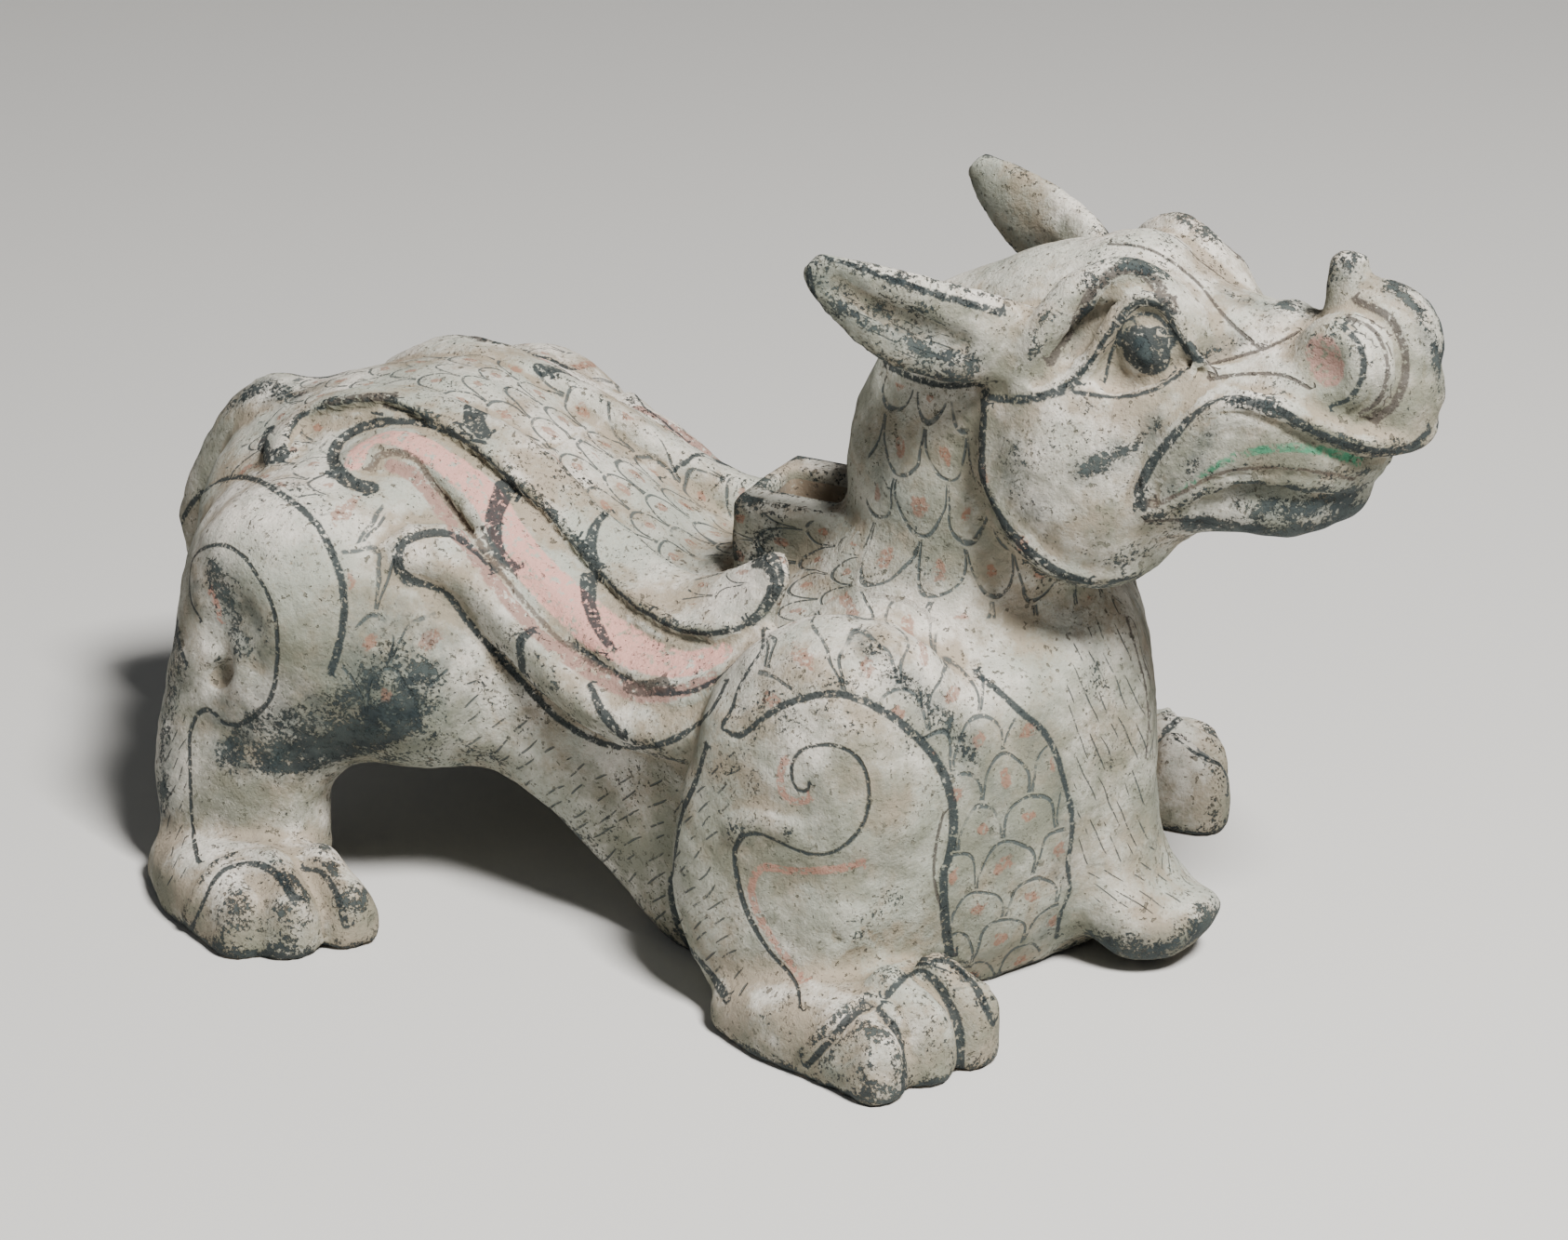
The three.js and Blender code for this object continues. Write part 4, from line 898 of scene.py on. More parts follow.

# Soft dark washes: grey stains and worn ground, and under the haunch, inside its curl, under the jaw and
# in the ear's hollow partly painted shade: half widths at both ends, strength, points
WASHES_AND_SHADE = (
    # the lower haunch above the hind leg: painted shade as well as stain
    (11, 14, 1.3, ((252, 808), (300, 814), (350, 806), (396, 786), (436, 760))),
    (22, 26, 0.85, ((262, 790), (320, 786), (380, 762), (436, 730))),
    (9, 12, 0.5, ((320, 776), (356, 736), (390, 690), (420, 664))),
    (8, 8, 0.6, ((208, 640), (236, 620), (262, 640), (284, 690))),
    (6, 5, 0.8, ((1166, 508), (1190, 490), (1220, 478), (1245, 456))),
    (6, 9, 0.75, ((930, 690), (960, 722), (1000, 758), (1044, 810))),
    (7, 7, 0.4, ((1150, 660), (1172, 700), (1190, 756))),
    (7, 7, 0.5, ((1110, 790), (1140, 850), (1142, 930), (1130, 1000))),
    (9, 9, 0.8, ((1180, 1014), (1250, 1022), (1300, 996))),
    (7, 7, 0.65, ((786, 540), (800, 534), (812, 545))),
    # under the jaw: painted shade as well as stain
    (9, 8, 1.15, ((1290, 566), (1340, 572), (1400, 574), (1450, 556))),
    (7, 8, 0.4, ((236, 985), (262, 975), (296, 1000))),
    # the left part of the haunch and the back of the hind leg: painted shade as well as stain
    (10, 10, 0.8, ((184, 740), (176, 800), (174, 870))),
    (12, 10, 0.8, ((170, 560), (186, 640), (190, 720))),
    (11, 11, 0.8, ((226, 610), (246, 650), (262, 700))),
    (14, 12, 0.3, ((250, 810), (256, 880), (262, 950))),
    (8, 7, 0.8, ((1330, 316), (1372, 326), (1404, 340))),
    (4, 5, 0.8, ((1282, 372), (1300, 380), (1330, 366))),
    (5, 5, 0.7, ((1300, 470), (1280, 500), (1262, 528))),
    (5, 4, 0.8, ((1490, 300), (1530, 340), (1548, 400))),
    (9, 8, 0.55, ((1080, 470), (1090, 520), (1120, 560))),
    (7, 7, 0.8, ((1340, 540), (1400, 546), (1450, 536))),
    (6, 7, 0.3, ((890, 1150), (925, 1146), (955, 1160))),
    # the ear's hollow: painted shade as well as stain
    (10, 10, 0.72, ((890, 306), (950, 346), (1010, 376), (1040, 392))),
    (7, 6, 0.7, ((834, 570), (800, 604), (780, 574))),
    (9, 8, 0.7, ((1048, 180), (1090, 214), (1140, 250))),
    (6, 5, 0.6, ((1236, 230), (1280, 228), (1310, 280))),
    (9, 10, 0.9, ((236, 440), (276, 418), (322, 424))),
    (5, 5, 0.6, ((1160, 350), (1150, 380), (1170, 330))),
    (4, 4, 1.2, ((1226, 368), (1230, 388))),
    (9, 9, 0.4, ((560, 420), (620, 460), (680, 500))),
    (13, 14, 0.5, ((940, 470), (960, 540), (1000, 610))),
    (6, 6, 0.5, ((1430, 300), (1446, 290), (1462, 300))),
    (8, 8, 0.4, ((1010, 790), (1060, 850), (1080, 920))),
)

# Low relief along pixel paths: half widths at both ends, height, points
RELIEF = (
    # wing: the upper band's lip and the groove below it, then the middle and lower bands' edges
    (3.2, 3.6, 1.5, ((316, 454), (350, 434), (390, 427), (417, 426), (460, 446), (503, 472), (546, 507),
        (588, 546), (627, 593), (670, 636), (697, 655), (729, 672), (756, 676), (787, 673))),
    (2.2, 2.4, -2.0, ((312, 478), (322, 456), (350, 443), (390, 437), (417, 436), (460, 457),
        (503, 484), (546, 519), (588, 558), (627, 605), (670, 648), (697, 667), (729, 684), (760, 688))),
    (2.4, 2.2, -1.7, ((398, 526), (377, 521), (363, 507), (359, 490), (367, 473), (387, 460),
        (413, 454))),
    (2.4, 2.4, -1.9, ((404, 508), (408, 493), (425, 487), (448, 495), (462, 514), (483, 542),
        (513, 581), (537, 614), (562, 646), (600, 687))),
    (2.2, 2.4, -1.6, ((618, 693), (660, 722), (700, 744), (740, 744), (768, 732))),
    (2.2, 2.2, -1.4, ((530, 615), (510, 592), (490, 577), (467, 573), (440, 580), (428, 594))),
    # the shoulder's circle and the haunch's
    (1.8, 2.2, -0.8, ((782, 788), (798, 790), (836, 762), (896, 746), (952, 766), (998, 806),
        (1023, 860), (1021, 916), (1014, 964), (1020, 1026))),
    (1.8, 2.0, -0.7, ((202, 717), (187, 653), (190, 580), (217, 530), (257, 513), (303, 532),
        (345, 570), (367, 623), (368, 677), (355, 723))),
    # between the lips, round the nostril and along the snout
    (1.8, 1.8, -1.0, ((1240, 548), (1264, 536), (1312, 512), (1360, 506), (1408, 509))),
    (2.0, 1.8, -1.4, ((1446, 344), (1472, 364), (1482, 396), (1472, 430), (1450, 446))),
    (2.0, 2.0, -1.3, ((1454, 326), (1492, 350), (1506, 394), (1494, 436), (1468, 456))),
    (2.0, 2.0, -0.9, ((1470, 306), (1514, 334), (1534, 388), (1520, 440))),
    (1.6, 1.6, -0.8, ((1296, 392), (1330, 384), (1366, 372), (1398, 356))),
    # folds and knuckles of the forepaw, knuckles of the hind paw, a pit in the foreleg
    (2.2, 2.6, -1.6, ((868, 1146), (884, 1128), (900, 1110), (914, 1094), (931, 1081))),
    (2.4, 2.6, 1.5, ((860, 1134), (878, 1114), (900, 1092), (918, 1078), (936, 1070), (952, 1082),
        (966, 1106))),
    (2.4, 2.4, 1.3, ((950, 1058), (972, 1038), (996, 1034), (1018, 1054), (1034, 1086))),
    (2.4, 2.4, 1.2, ((982, 1020), (1020, 1022), (1048, 1044), (1068, 1080))),
    (2.4, 2.4, 1.3, ((200, 984), (226, 936), (254, 920), (284, 920), (310, 938), (326, 966))),
    (2.0, 2.2, 1.1, ((322, 924), (350, 928), (370, 952))),
    (2.0, 2.2, 1.0, ((366, 918), (396, 922), (414, 946))),
    (2.6, 2.0, -2.2, ((897, 1008), (902, 1013))),
    # the elbow's knob, the hollow below it and the full front of the shoulder
    (8, 7, 2.4, ((792, 892), (822, 884), (850, 893))),
    (14, 14, -2.2, ((850, 960), (900, 950), (950, 960))),
    (14, 14, 1.6, ((920, 800), (962, 840), (974, 890))),
    (7, 6, 1.2, ((880, 830), (890, 850))),
    (9, 9, -1.6, ((960, 1000), (920, 1040))),
    (6, 6, -1.4, ((905, 1140), (935, 1120), (950, 1150))),
    # under the upper lip, the lids, the eyeball, under the brow and the hollow of the ear
    (2.6, 2.4, -2.0, ((1240, 540), (1254, 508), (1280, 474), (1304, 450), (1326, 444), (1372, 456),
        (1420, 482), (1466, 497), (1504, 496))),
    (2.4, 1.8, 1.3, ((1226, 536), (1240, 490), (1270, 454), (1300, 427), (1324, 420), (1372, 432),
        (1420, 459), (1468, 476), (1512, 474))),
    (1.8, 1.8, 1.3, ((1112, 424), (1152, 406), (1174, 384), (1192, 356), (1212, 328), (1232, 317),
        (1256, 328), (1270, 354), (1284, 380))),
    (1.7, 1.7, -1.3, ((1192, 404), (1200, 372), (1216, 343), (1236, 333), (1254, 345), (1264, 368))),
    (1.7, 1.7, -1.1, ((1192, 412), (1212, 418), (1240, 410), (1266, 392))),
    (5.0, 5.0, 1.2, ((1222, 374), (1232, 384))),
    (2.2, 2.2, -1.4, ((1146, 392), (1166, 354), (1186, 320), (1208, 302), (1228, 303), (1244, 318))),
    (6.5, 7.0, -2.4, ((900, 306), (940, 330), (984, 350), (1030, 368))),
    (2.0, 2.0, 1.0, ((876, 276), (920, 288), (970, 306), (1020, 322), (1070, 336))),
    # a crack in the foreleg, one in the haunch and a chip beside the paw
    (1.1, 0.7, -0.9, ((812, 996), (838, 990), (866, 1004), (884, 1000))),
    (1.0, 0.7, -0.8, ((300, 560), (316, 588), (310, 610))),
    (1.6, 1.2, -1.2, ((930, 1000), (944, 1012), (950, 1030))),
    # grooves inside the two ears
    (2.0, 2.0, -1.2, ((912, 322), (956, 348), (1000, 368), (1040, 378))),
    (1.6, 1.6, -0.8, ((1070, 196), (1104, 222), (1136, 246))),
)

# Hair strokes: outline, direction of a stroke in pixels, gap between strokes and between rows
HAIR_FIELDS = (
    # back of the foreleg, belly, back of the hind leg, mane, beard, near ear, far ear
    (((770, 800), (800, 812), (786, 870), (768, 930), (784, 1000), (806, 1060), (792, 1080),
        (764, 1048), (730, 1000), (724, 930), (738, 866)), (-15, 15), 17, 25),
    (((486, 742), (505, 716), (540, 748), (600, 806), (660, 836), (722, 832), (742, 850), (716, 900),
        (716, 970), (736, 1020), (690, 980), (600, 880), (540, 820), (500, 800)), (-17, 11), 18, 32),
    (((172, 800), (190, 756), (206, 780), (200, 850), (202, 940), (180, 960)), (-7, 16), 11, 22),
    (((1148, 700), (1196, 640), (1228, 720), (1234, 800), (1238, 900), (1206, 930), (1160, 930),
        (1158, 860), (1146, 800)), (16, 36), 12, 84),
    (((1160, 940), (1206, 932), (1240, 905), (1290, 955), (1250, 985), (1190, 985)), (34, 22), 12, 66),
    (((896, 318), (960, 326), (1040, 352), (1046, 396), (980, 392), (916, 348)), (30, 12), 12, 44),
    (((1052, 180), (1110, 214), (1160, 250), (1130, 262), (1080, 230)), (16, 22), 10, 34),
)

# Outlines on the photograph within which scales are painted
CHEST_SCALES = ((822, 690), (836, 640), (862, 612), (935, 622), (985, 640), (1044, 716), (1070, 738),
    (1118, 784), (1132, 812), (1146, 872), (1146, 930), (1134, 1004), (1100, 1050), (1024, 1066),
    (1024, 1026), (1019, 940), (1030, 888), (1018, 832), (980, 781), (926, 747), (896, 741), (836, 757),
    (806, 782), (812, 730))
HAUNCH_SCALES = ((352, 548), (372, 530), (412, 538), (424, 600), (440, 634), (466, 650), (486, 700),
    (478, 750), (440, 790), (388, 784), (366, 726), (376, 650), (372, 610))
RUMP_SCALES = ((300, 500), (312, 480), (330, 452), (356, 444), (352, 480), (360, 520), (346, 558),
    (310, 528), (270, 508), (236, 510), (268, 470), (284, 500))


class Brush:
    """Draws on the near side through the photograph's camera, for a mesh in millimetres.

    The far side takes the same paint, mirrored, a little shifted by a slow noise.
    """

    def __init__(self, points, quads):
        """Folds the far side's points and normals onto the near side."""
        self.tree = BVHTree.FromPolygons(points.tolist(), quads.tolist())
        self.place, self.back, self.right, self.up = photo_camera()
        self.P, self.N = points.copy(), normals_of(points, quads)
        far = points[:, 1] > 0
        drift = np.stack([waves(points, DRIFT_SIZE, 40 + i) for i in range(3)], 1) * FAR_SIDE_DRIFT
        self.P[far] += drift[far]
        self.P[far, 1] *= -1
        self.N[far, 1] *= -1

    def on_photo(self, P):
        """Pixels of the photograph that the points fall on.

        A point's offset to the right and up is divided by its depth over the focal length.
        """
        q = P - self.place
        depth = -(q @ self.back) / FOCAL_PIXELS
        u = PHOTO_WIDTH / 2 + q @ self.right / depth
        v = PHOTO_HEIGHT / 2 - q @ self.up / depth
        return np.stack([u, v], 1)

    def traced(self, pixels, steps=6):
        """Pixel points joined by a smooth curve and cast onto the beast."""
        out = []
        for u, v in catmull(pixels, steps):
            way = self.right * (u - PHOTO_WIDTH / 2) - self.up * (v - PHOTO_HEIGHT / 2)
            way -= self.back * FOCAL_PIXELS
            hit = self.tree.ray_cast(Vector(self.place), Vector(way).normalized())[0]
            out.append((math.nan,) * 3 if hit is None else hit[:])
        return np.array(out)

    def across(self, line, start, end, reach):
        """Vertices within reach of a line, their signed distance and the half width there.

        The nearest leg of the line counts. The sign says which side of it a vertex is on, and
        the half width changes evenly from the line's start to its end.
        """
        kept = ~np.isnan(line[:, 0])
        if kept.sum() < 2:
            return np.empty(0, int), np.empty(0), np.empty(0)
        margin = reach + max(start, end)
        low = line[kept].min(0) - margin
        high = line[kept].max(0) + margin
        near = np.flatnonzero(((self.P > low) & (self.P < high)).all(1))
        P, N = self.P[near], self.N[near]
        edge = np.full(len(near), FAR)
        signed = np.full(len(near), FAR)
        width = np.full(len(near), start, float)
        last = len(line) - 2
        for i in range(last + 1):
            d = line[i + 1] - line[i]
            length = math.sqrt(d @ d)
            if not 1e-3 < length < LONGEST_STEP:
                continue
            raw = (P - line[i]) @ d / length ** 2
            h = np.clip(raw, 0, 1)
            q = P - line[i] - h[:, None] * d
            r = np.linalg.norm(q, axis=1)
            half = start + (end - start) * (i + h) / (last + 1)
            side = np.where((np.cross(d, N) * q).sum(1) < 0, -1.0, 1.0)
            side[(raw < 0) & (i == 0) | (raw > 1) & (i == last)] = 1.0
            closer = r - half < edge
            edge[closer] = (r - half)[closer]
            signed[closer] = (side * r)[closer]
            width[closer] = half[closer]
        found = edge < reach
        return near[found], signed[found], width[found]

    def layer(self, lines):
        """Per vertex the nearest line: signed distance, half width, tone and edge distance."""
        out = np.tile(UNPAINTED, (len(self.P), 1))
        for start, end, tone, pixels in lines:
            at, signed, width = self.across(self.traced(pixels), start, end, LINE_REACH)
            edge = np.abs(signed) - width
            closer = edge < out[at, 3]
            rows = np.stack([signed, width, np.full(len(at), tone), edge], 1)
            out[at[closer]] = rows[closer]
        return out

    def washed(self, lines):
        """Per vertex the strongest soft wash, fading from a line's middle to its edge."""
        out = np.zeros(len(self.P))
        for start, end, strength, pixels in lines:
            at, signed, width = self.across(self.traced(pixels), start, end, LINE_REACH)
            fade = np.clip(1 + FULL_SHARE - np.abs(signed) / width, 0, 1)
            out[at] = np.maximum(out[at], fade * strength)
        return out

    def inside(self, outline):
        """Distance in millimetres inside a closed outline of pixels, negative outside.

        It is the distance to the nearest side, and a point is inside where a line from it
        crosses the outline an odd number of times.
        """
        pixel = FOCAL_PIXELS / CAMERA_DISTANCE
        P = self.on_photo(self.P)
        ring = np.array(outline, float)
        after = np.roll(ring, -1, 0)
        away = np.full(len(P), FAR)
        within = np.zeros(len(P), bool)
        for a, b in zip(ring, after):
            d = b - a
            h = np.clip((P - a) @ d / (d @ d), 0, 1)
            away = np.minimum(away, np.linalg.norm(P - a - h[:, None] * d, axis=1))
            over = (P[:, 1] < a[1]) != (P[:, 1] < b[1])
            within ^= over & (P[:, 0] < a[0] + (P[:, 1] - a[1]) * d[0] / (d[1] if d[1] else 1e-9))
        facing = self.N @ self.back > FACING_LEAST
        return np.where(within & facing, away, -away) / pixel


def hair_cells(brush):
    """Counts across and along the hair strokes, and a mask of the fields that have them.

    A count is the pixel's place along or across the field's direction, over the gap there.
    """
    pixels = brush.on_photo(brush.P)
    out = np.zeros((len(pixels), 4))
    depth = np.full(len(pixels), -FAR)
    for outline, way, across, along in HAIR_FIELDS:
        inside = brush.inside(outline)
        better = inside > depth
        way = np.array(way) / math.hypot(*way)
        out[better, 0] = (pixels @ (-way[1], way[0]) / across)[better]
        out[better, 1] = (pixels @ way / along)[better]
        depth[better] = inside[better]
    out[:, 3] = np.clip(depth / MASK_SOFTNESS + 0.5, 0, 1)
    return out


def between(value, low, high):
    """How far a value lies inside a range, negative outside it."""
    return np.minimum(value - low, high - value)


def scale_cells(brush):
    """Rows and columns of the painted scales, counted in scales, with a mask of where they are.

    Columns run round the body and rows run the way the scales' tips point: towards the tail
    on the back and the collar, down the neck, up on the chest and the haunch.
    """
    x, y, z = brush.P.T
    y = np.abs(y)
    upper = np.array(UPPER_BAND)[::-1]
    inner = np.interp(x, upper[:, 0], upper[:, 1])
    head = group(HEAD).distance(np.stack([x, y, z], 1).astype(real))
    round_neck = np.arctan2(y, NECK_AXIS_X - x) * NECK_RADIUS
    below_band = inner - 2 - y
    regions = (
        (y, -x, BACK_SCALE, (below_band, between(x, -206, -13), z - 120)),
        (round_neck, -z, NECK_SCALE, (head - 2, between(x, 46, 128), between(z, 132, 206))),
        (0.85 * x - 0.6 * y, z, CHEST_SCALE, (brush.inside(CHEST_SCALES),)),
        (x + 0.2 * HAUNCH_SCALE[0], z, HAUNCH_SCALE, (brush.inside(HAUNCH_SCALES),)),
        (y * 0.6 - z * 0.8, z * 0.35 - x, BACK_SCALE, (brush.inside(RUMP_SCALES),)),
        (z - y, -x, WITHERS_SCALE, (between(x, -12, 50), between(z, 108, 148), between(y, 12, 60))),
    )
    out = np.zeros((len(x), 4))
    depth = np.full(len(x), -FAR)
    for across, along, (width, length), limits in regions:
        inside = np.minimum.reduce(limits)
        better = inside > depth
        out[better, 0] = (across / width)[better]
        out[better, 1] = (along / length)[better]
        depth[better] = inside[better]
    out[:, 3] = np.clip(depth / MASK_SOFTNESS + 0.5, 0, 1)
    return out


def form_masks(points, quads):
    """How far each point stands out from the smoothed body, fine and broad, its height and tilt.

    It is the offset from the smoothed place along the normal, negative in a hollow, and the
    tilt is the normal's upward part.
    """
    N = normals_of(points, quads)
    fine = ((points - relaxed(points, quads, *FINE_FORM)) * N).sum(1)
    broad = ((points - relaxed(points, quads, *BROAD_FORM)) * N).sum(1)
    return np.stack([fine, broad, points[:, 2], N[:, 2]], 1)


def carved_relief(points, quads):
    """Points moved along their normals by the relief lines and a slow, hand-made unevenness.

    Across a line the height is its rise times (1 - s^2)^2, with s the share of the half width.
    """
    brush = Brush(points, quads)
    height = np.zeros(len(points))
    for start, end, rise, pixels in RELIEF:
        at, signed, width = brush.across(brush.traced(pixels), start, end, RELIEF_REACH)
        profile = np.clip(1 - (signed / width) ** 2, 0, 1) ** 2
        height[at] += rise * profile
    uneven = np.zeros(len(points))
    for seed, (swell, size, count) in enumerate(UNEVENNESS, 1):
        uneven += swell * waves(points, size, seed, count)
    return points + normals_of(points, quads) * (height + uneven)[:, None]


def build_floor(settings):
    """A wide floor at the standing plane, rising behind in a quarter circle to a low wall."""
    turn = np.linspace(0, np.pi / 2, CURVE_STEPS)
    bend = FLOOR_REACH - FLOOR_CURVE + FLOOR_CURVE * np.sin(turn)
    run_out = np.concatenate([[-FLOOR_REACH], bend, [FLOOR_REACH]])
    height = np.concatenate([[0], FLOOR_CURVE - FLOOR_CURVE * np.cos(turn), [WALL_HEIGHT]])
    across = np.array([-FLOOR_REACH * 2, FLOOR_REACH * 2])
    a = math.radians(CAMERA_AZIMUTH)
    ahead = np.array([-math.sin(a), math.cos(a)])
    side = np.array([math.cos(a), math.sin(a)])
    flat = run_out[:, None, None] * ahead + across[None, :, None] * side
    points = np.concatenate([flat, np.repeat(height[:, None, None], 2, 1)], -1).reshape(-1, 3)
    n = np.arange(len(run_out) - 1)[:, None] * 2
    faces = n + np.array([[0, 1, 3, 2]])
    material = bpy.data.materials.new("stage_floor")
    material.use_nodes = True
    shader = material.node_tree.nodes["Principled BSDF"]
    shader.inputs["Base Color"].default_value = (*settings.floor_color, 1)
    shader.inputs["Roughness"].default_value = FLOOR_ROUGHNESS
    made = new_object("stage_floor", points, faces, [material])


def soft_light(name, place, size, power, color):
    """A square area light at a place, turned towards the middle of the beast."""
    lamp = bpy.data.lights.new(name, "AREA")
    lamp.size = size
    lamp.energy = power
    lamp.color = color
    made = bpy.data.objects.new(name, lamp)
    made.location = place
    made.rotation_euler = (Vector(place) - Vector(LIGHT_AIM)).to_track_quat("Z", "Y").to_euler()
    bpy.context.scene.collection.objects.link(made)


def build_lights(settings):
    """A key from the upper right, a weak, larger fill from the left and a pale surround."""
    soft_light("key_light", KEY_PLACE, KEY_SIZE, settings.key_power, KEY_COLOR)
    soft_light("fill_light", FILL_PLACE, FILL_SIZE, settings.fill_power, FILL_COLOR)
    world = bpy.data.worlds.new("studio")
    world.use_nodes = True
    surround = world.node_tree.nodes["Background"]
    surround.inputs["Color"].default_value = SURROUND_COLOR
    surround.inputs["Strength"].default_value = SURROUND_STRENGTH
    bpy.context.scene.world = world


def build_camera(context):
    """The photograph's camera: the same place, direction and field of view."""
    place, back, right, up = photo_camera()
    lens = bpy.data.cameras.new("photo_camera")
    lens.sensor_width = SENSOR_WIDTH
    lens.lens = FOCAL_PIXELS / PHOTO_WIDTH * SENSOR_WIDTH
    lens.clip_start = CLIP_START
    made = bpy.data.objects.new("photo_camera", lens)
    turn = Matrix(np.stack([right, up, back], 1).tolist()).to_4x4()
    made.matrix_world = Matrix.Translation(place * MM) @ turn
    context.scene.collection.objects.link(made)
    context.scene.camera = made


def build_body(settings):
    """The beast in millimetres: the zero level, relaxed and carved.

    The flat rim and the standing plane are kept, and nothing passes the box of the solid.
    """
    step = settings.mesh_step / MM
    values, low = sampled(GRID_LOW, GRID_HIGH, step)
    points, quads = largest_shell(*surface_nets(values, low, step))
    rim = np.abs(points[:, 2] - RIM_HEIGHT) < FLAT_WITHIN
    standing = points[:, 2] < FLAT_WITHIN
    points = relaxed(points, quads, *MESH_SMOOTHING)
    points = carved_relief(points, quads)
    points[rim, 2] = RIM_HEIGHT
    points[standing, 2] = 0
    return np.clip(points, np.array(CAD_LOW) / MM, np.array(CAD_HIGH) / MM), quads


def put_attribute(mesh, name, rows):
    """Four numbers for each vertex, read by the material by name."""
    made = mesh.attributes.new(name, "FLOAT_COLOR", "POINT")
    made.data.foreach_set("color", rows.astype(real).ravel())


def paint(mesh, points, quads):
    """All masks of the paint, worked out at the vertices and kept as attributes."""
    brush = Brush(points, quads)
    put_attribute(mesh, "broad", brush.layer(BROAD_LINES))
    put_attribute(mesh, "fine", brush.layer(FINE_LINES))
    put_attribute(mesh, "red", brush.layer(RED_LINES))
    tint = np.zeros((len(points), 4))
    tint[:, 0] = brush.layer(PINK_LINES)[:, 3]
    tint[:, 1] = brush.layer(GREEN_LINES)[:, 3]
    tint[:, 2] = brush.washed(WASHES_AND_SHADE)
    tint[:, 3] = brush.layer(ROLL_LINES)[:, 3]
    put_attribute(mesh, "tint", tint)
    put_attribute(mesh, "cells", scale_cells(brush))
    put_attribute(mesh, "hairs", hair_cells(brush))
    put_attribute(mesh, "form", form_masks(points, quads))


def bare_faces(points, quads):
    """Faces of bare clay: inside the socket, and flat on the ground."""
    middle = points[quads].mean(1)
    socket = ((middle > SOCKET_LOW) & (middle < SOCKET_HIGH)).all(1)
    return socket | (middle[:, 2] < FLAT_WITHIN)


def new_object(name, points, faces, materials):
    """A smooth mesh object at the origin, from arrays of points in metres and faces."""
    mesh = bpy.data.meshes.new(name)
    mesh.from_pydata(points.tolist(), [], faces.tolist())
    mesh.update()
    mesh.shade_smooth()
    for material in materials:
        mesh.materials.append(material)
    made = bpy.data.objects.new(name, mesh)
    bpy.context.scene.collection.objects.link(made)
    return made


class Wires:
    """Short ways to add nodes to a tree; each returns the socket that it makes."""

    def __init__(self, tree):
        """Keeps the tree that the nodes go into."""
        self.tree = tree

    def node(self, kind, inputs=(), **settings):
        """A node with its settings; each input is linked from a socket or set to a value."""
        made = self.tree.nodes.new(kind)
        for key, value in settings.items():
            setattr(made, key, value)
        for key, value in dict(inputs).items():
            if isinstance(value, bpy.types.NodeSocket):
                self.tree.links.new(value, made.inputs[key])
            else:
                made.inputs[key].default_value = value
        return made

    def math(self, operation, *values):
        """One step of arithmetic on the values."""
        return self.node("ShaderNodeMath", enumerate(values), operation=operation).outputs[0]

    def plus(self, first, *rest):
        """The sum of the values."""
        for value in rest:
            first = self.math("ADD", first, value)
        return first

    def minus(self, first, second):
        """The first value less the second."""
        return self.math("SUBTRACT", first, second)

    def times(self, first, *rest):
        """The product of the values."""
        for value in rest:
            first = self.math("MULTIPLY", first, value)
        return first

    def step(self, value, low, high, to_low=0.0, to_high=1.0):
        """Smooth change from to_low at low to to_high at high."""
        inputs = {"Value": value, "From Min": low, "From Max": high,
                  "To Min": to_low, "To Max": to_high}
        made = self.node("ShaderNodeMapRange", inputs, interpolation_type="SMOOTHSTEP")
        return made.outputs["Result"]

    def mix(self, share, a, b):
        """Colour a where the share is 0, colour b where it is 1."""
        made = self.node("ShaderNodeMix", {0: share, 6: a, 7: b}, data_type="RGBA")
        return made.outputs[2]

    def noise(self, vector, scale, detail=2.0, roughness=0.5, offset=0.0):
        """Noise between 0 and 1, scale in swells to the metre; an offset gives another one."""
        if offset:
            vector = self.node("ShaderNodeVectorMath", {0: vector, 1: (offset,) * 3}).outputs[0]
        inputs = {"Vector": vector, "Scale": scale, "Detail": detail, "Roughness": roughness}
        return self.node("ShaderNodeTexNoise", inputs).outputs["Fac"]

    def swing(self, vector, scale, **settings):
        """The same noise less a half, so that it swings about zero."""
        return self.minus(self.noise(vector, scale, **settings), 0.5)

    def attribute(self, name):
        """The four numbers that the mesh holds under a name."""
        made = self.node("ShaderNodeAttribute", attribute_name=name)
        parts = self.node("ShaderNodeSeparateXYZ", {0: made.outputs["Vector"]}).outputs
        return parts[0], parts[1], parts[2], made.outputs["Alpha"]

    def group(self, tree, inputs):
        """The outputs of a shader group placed with these inputs."""
        return self.node("ShaderNodeGroup", inputs, node_tree=tree).outputs


def new_group(name, inputs, outputs):
    """An empty shader group with its sockets; inputs and outputs are (name, type, default)."""
    tree = bpy.data.node_groups.new(name, "ShaderNodeTree")
    for way, sockets in (("INPUT", inputs), ("OUTPUT", outputs)):
        for label, kind, default in sockets:
            socket = tree.interface.new_socket(label, in_out=way, socket_type="NodeSocket" + kind)
            if default is not None:
                socket.default_value = default
    given = tree.nodes.new("NodeGroupInput").outputs
    result = tree.nodes.new("NodeGroupOutput").inputs
    return tree, Wires(tree), given, result


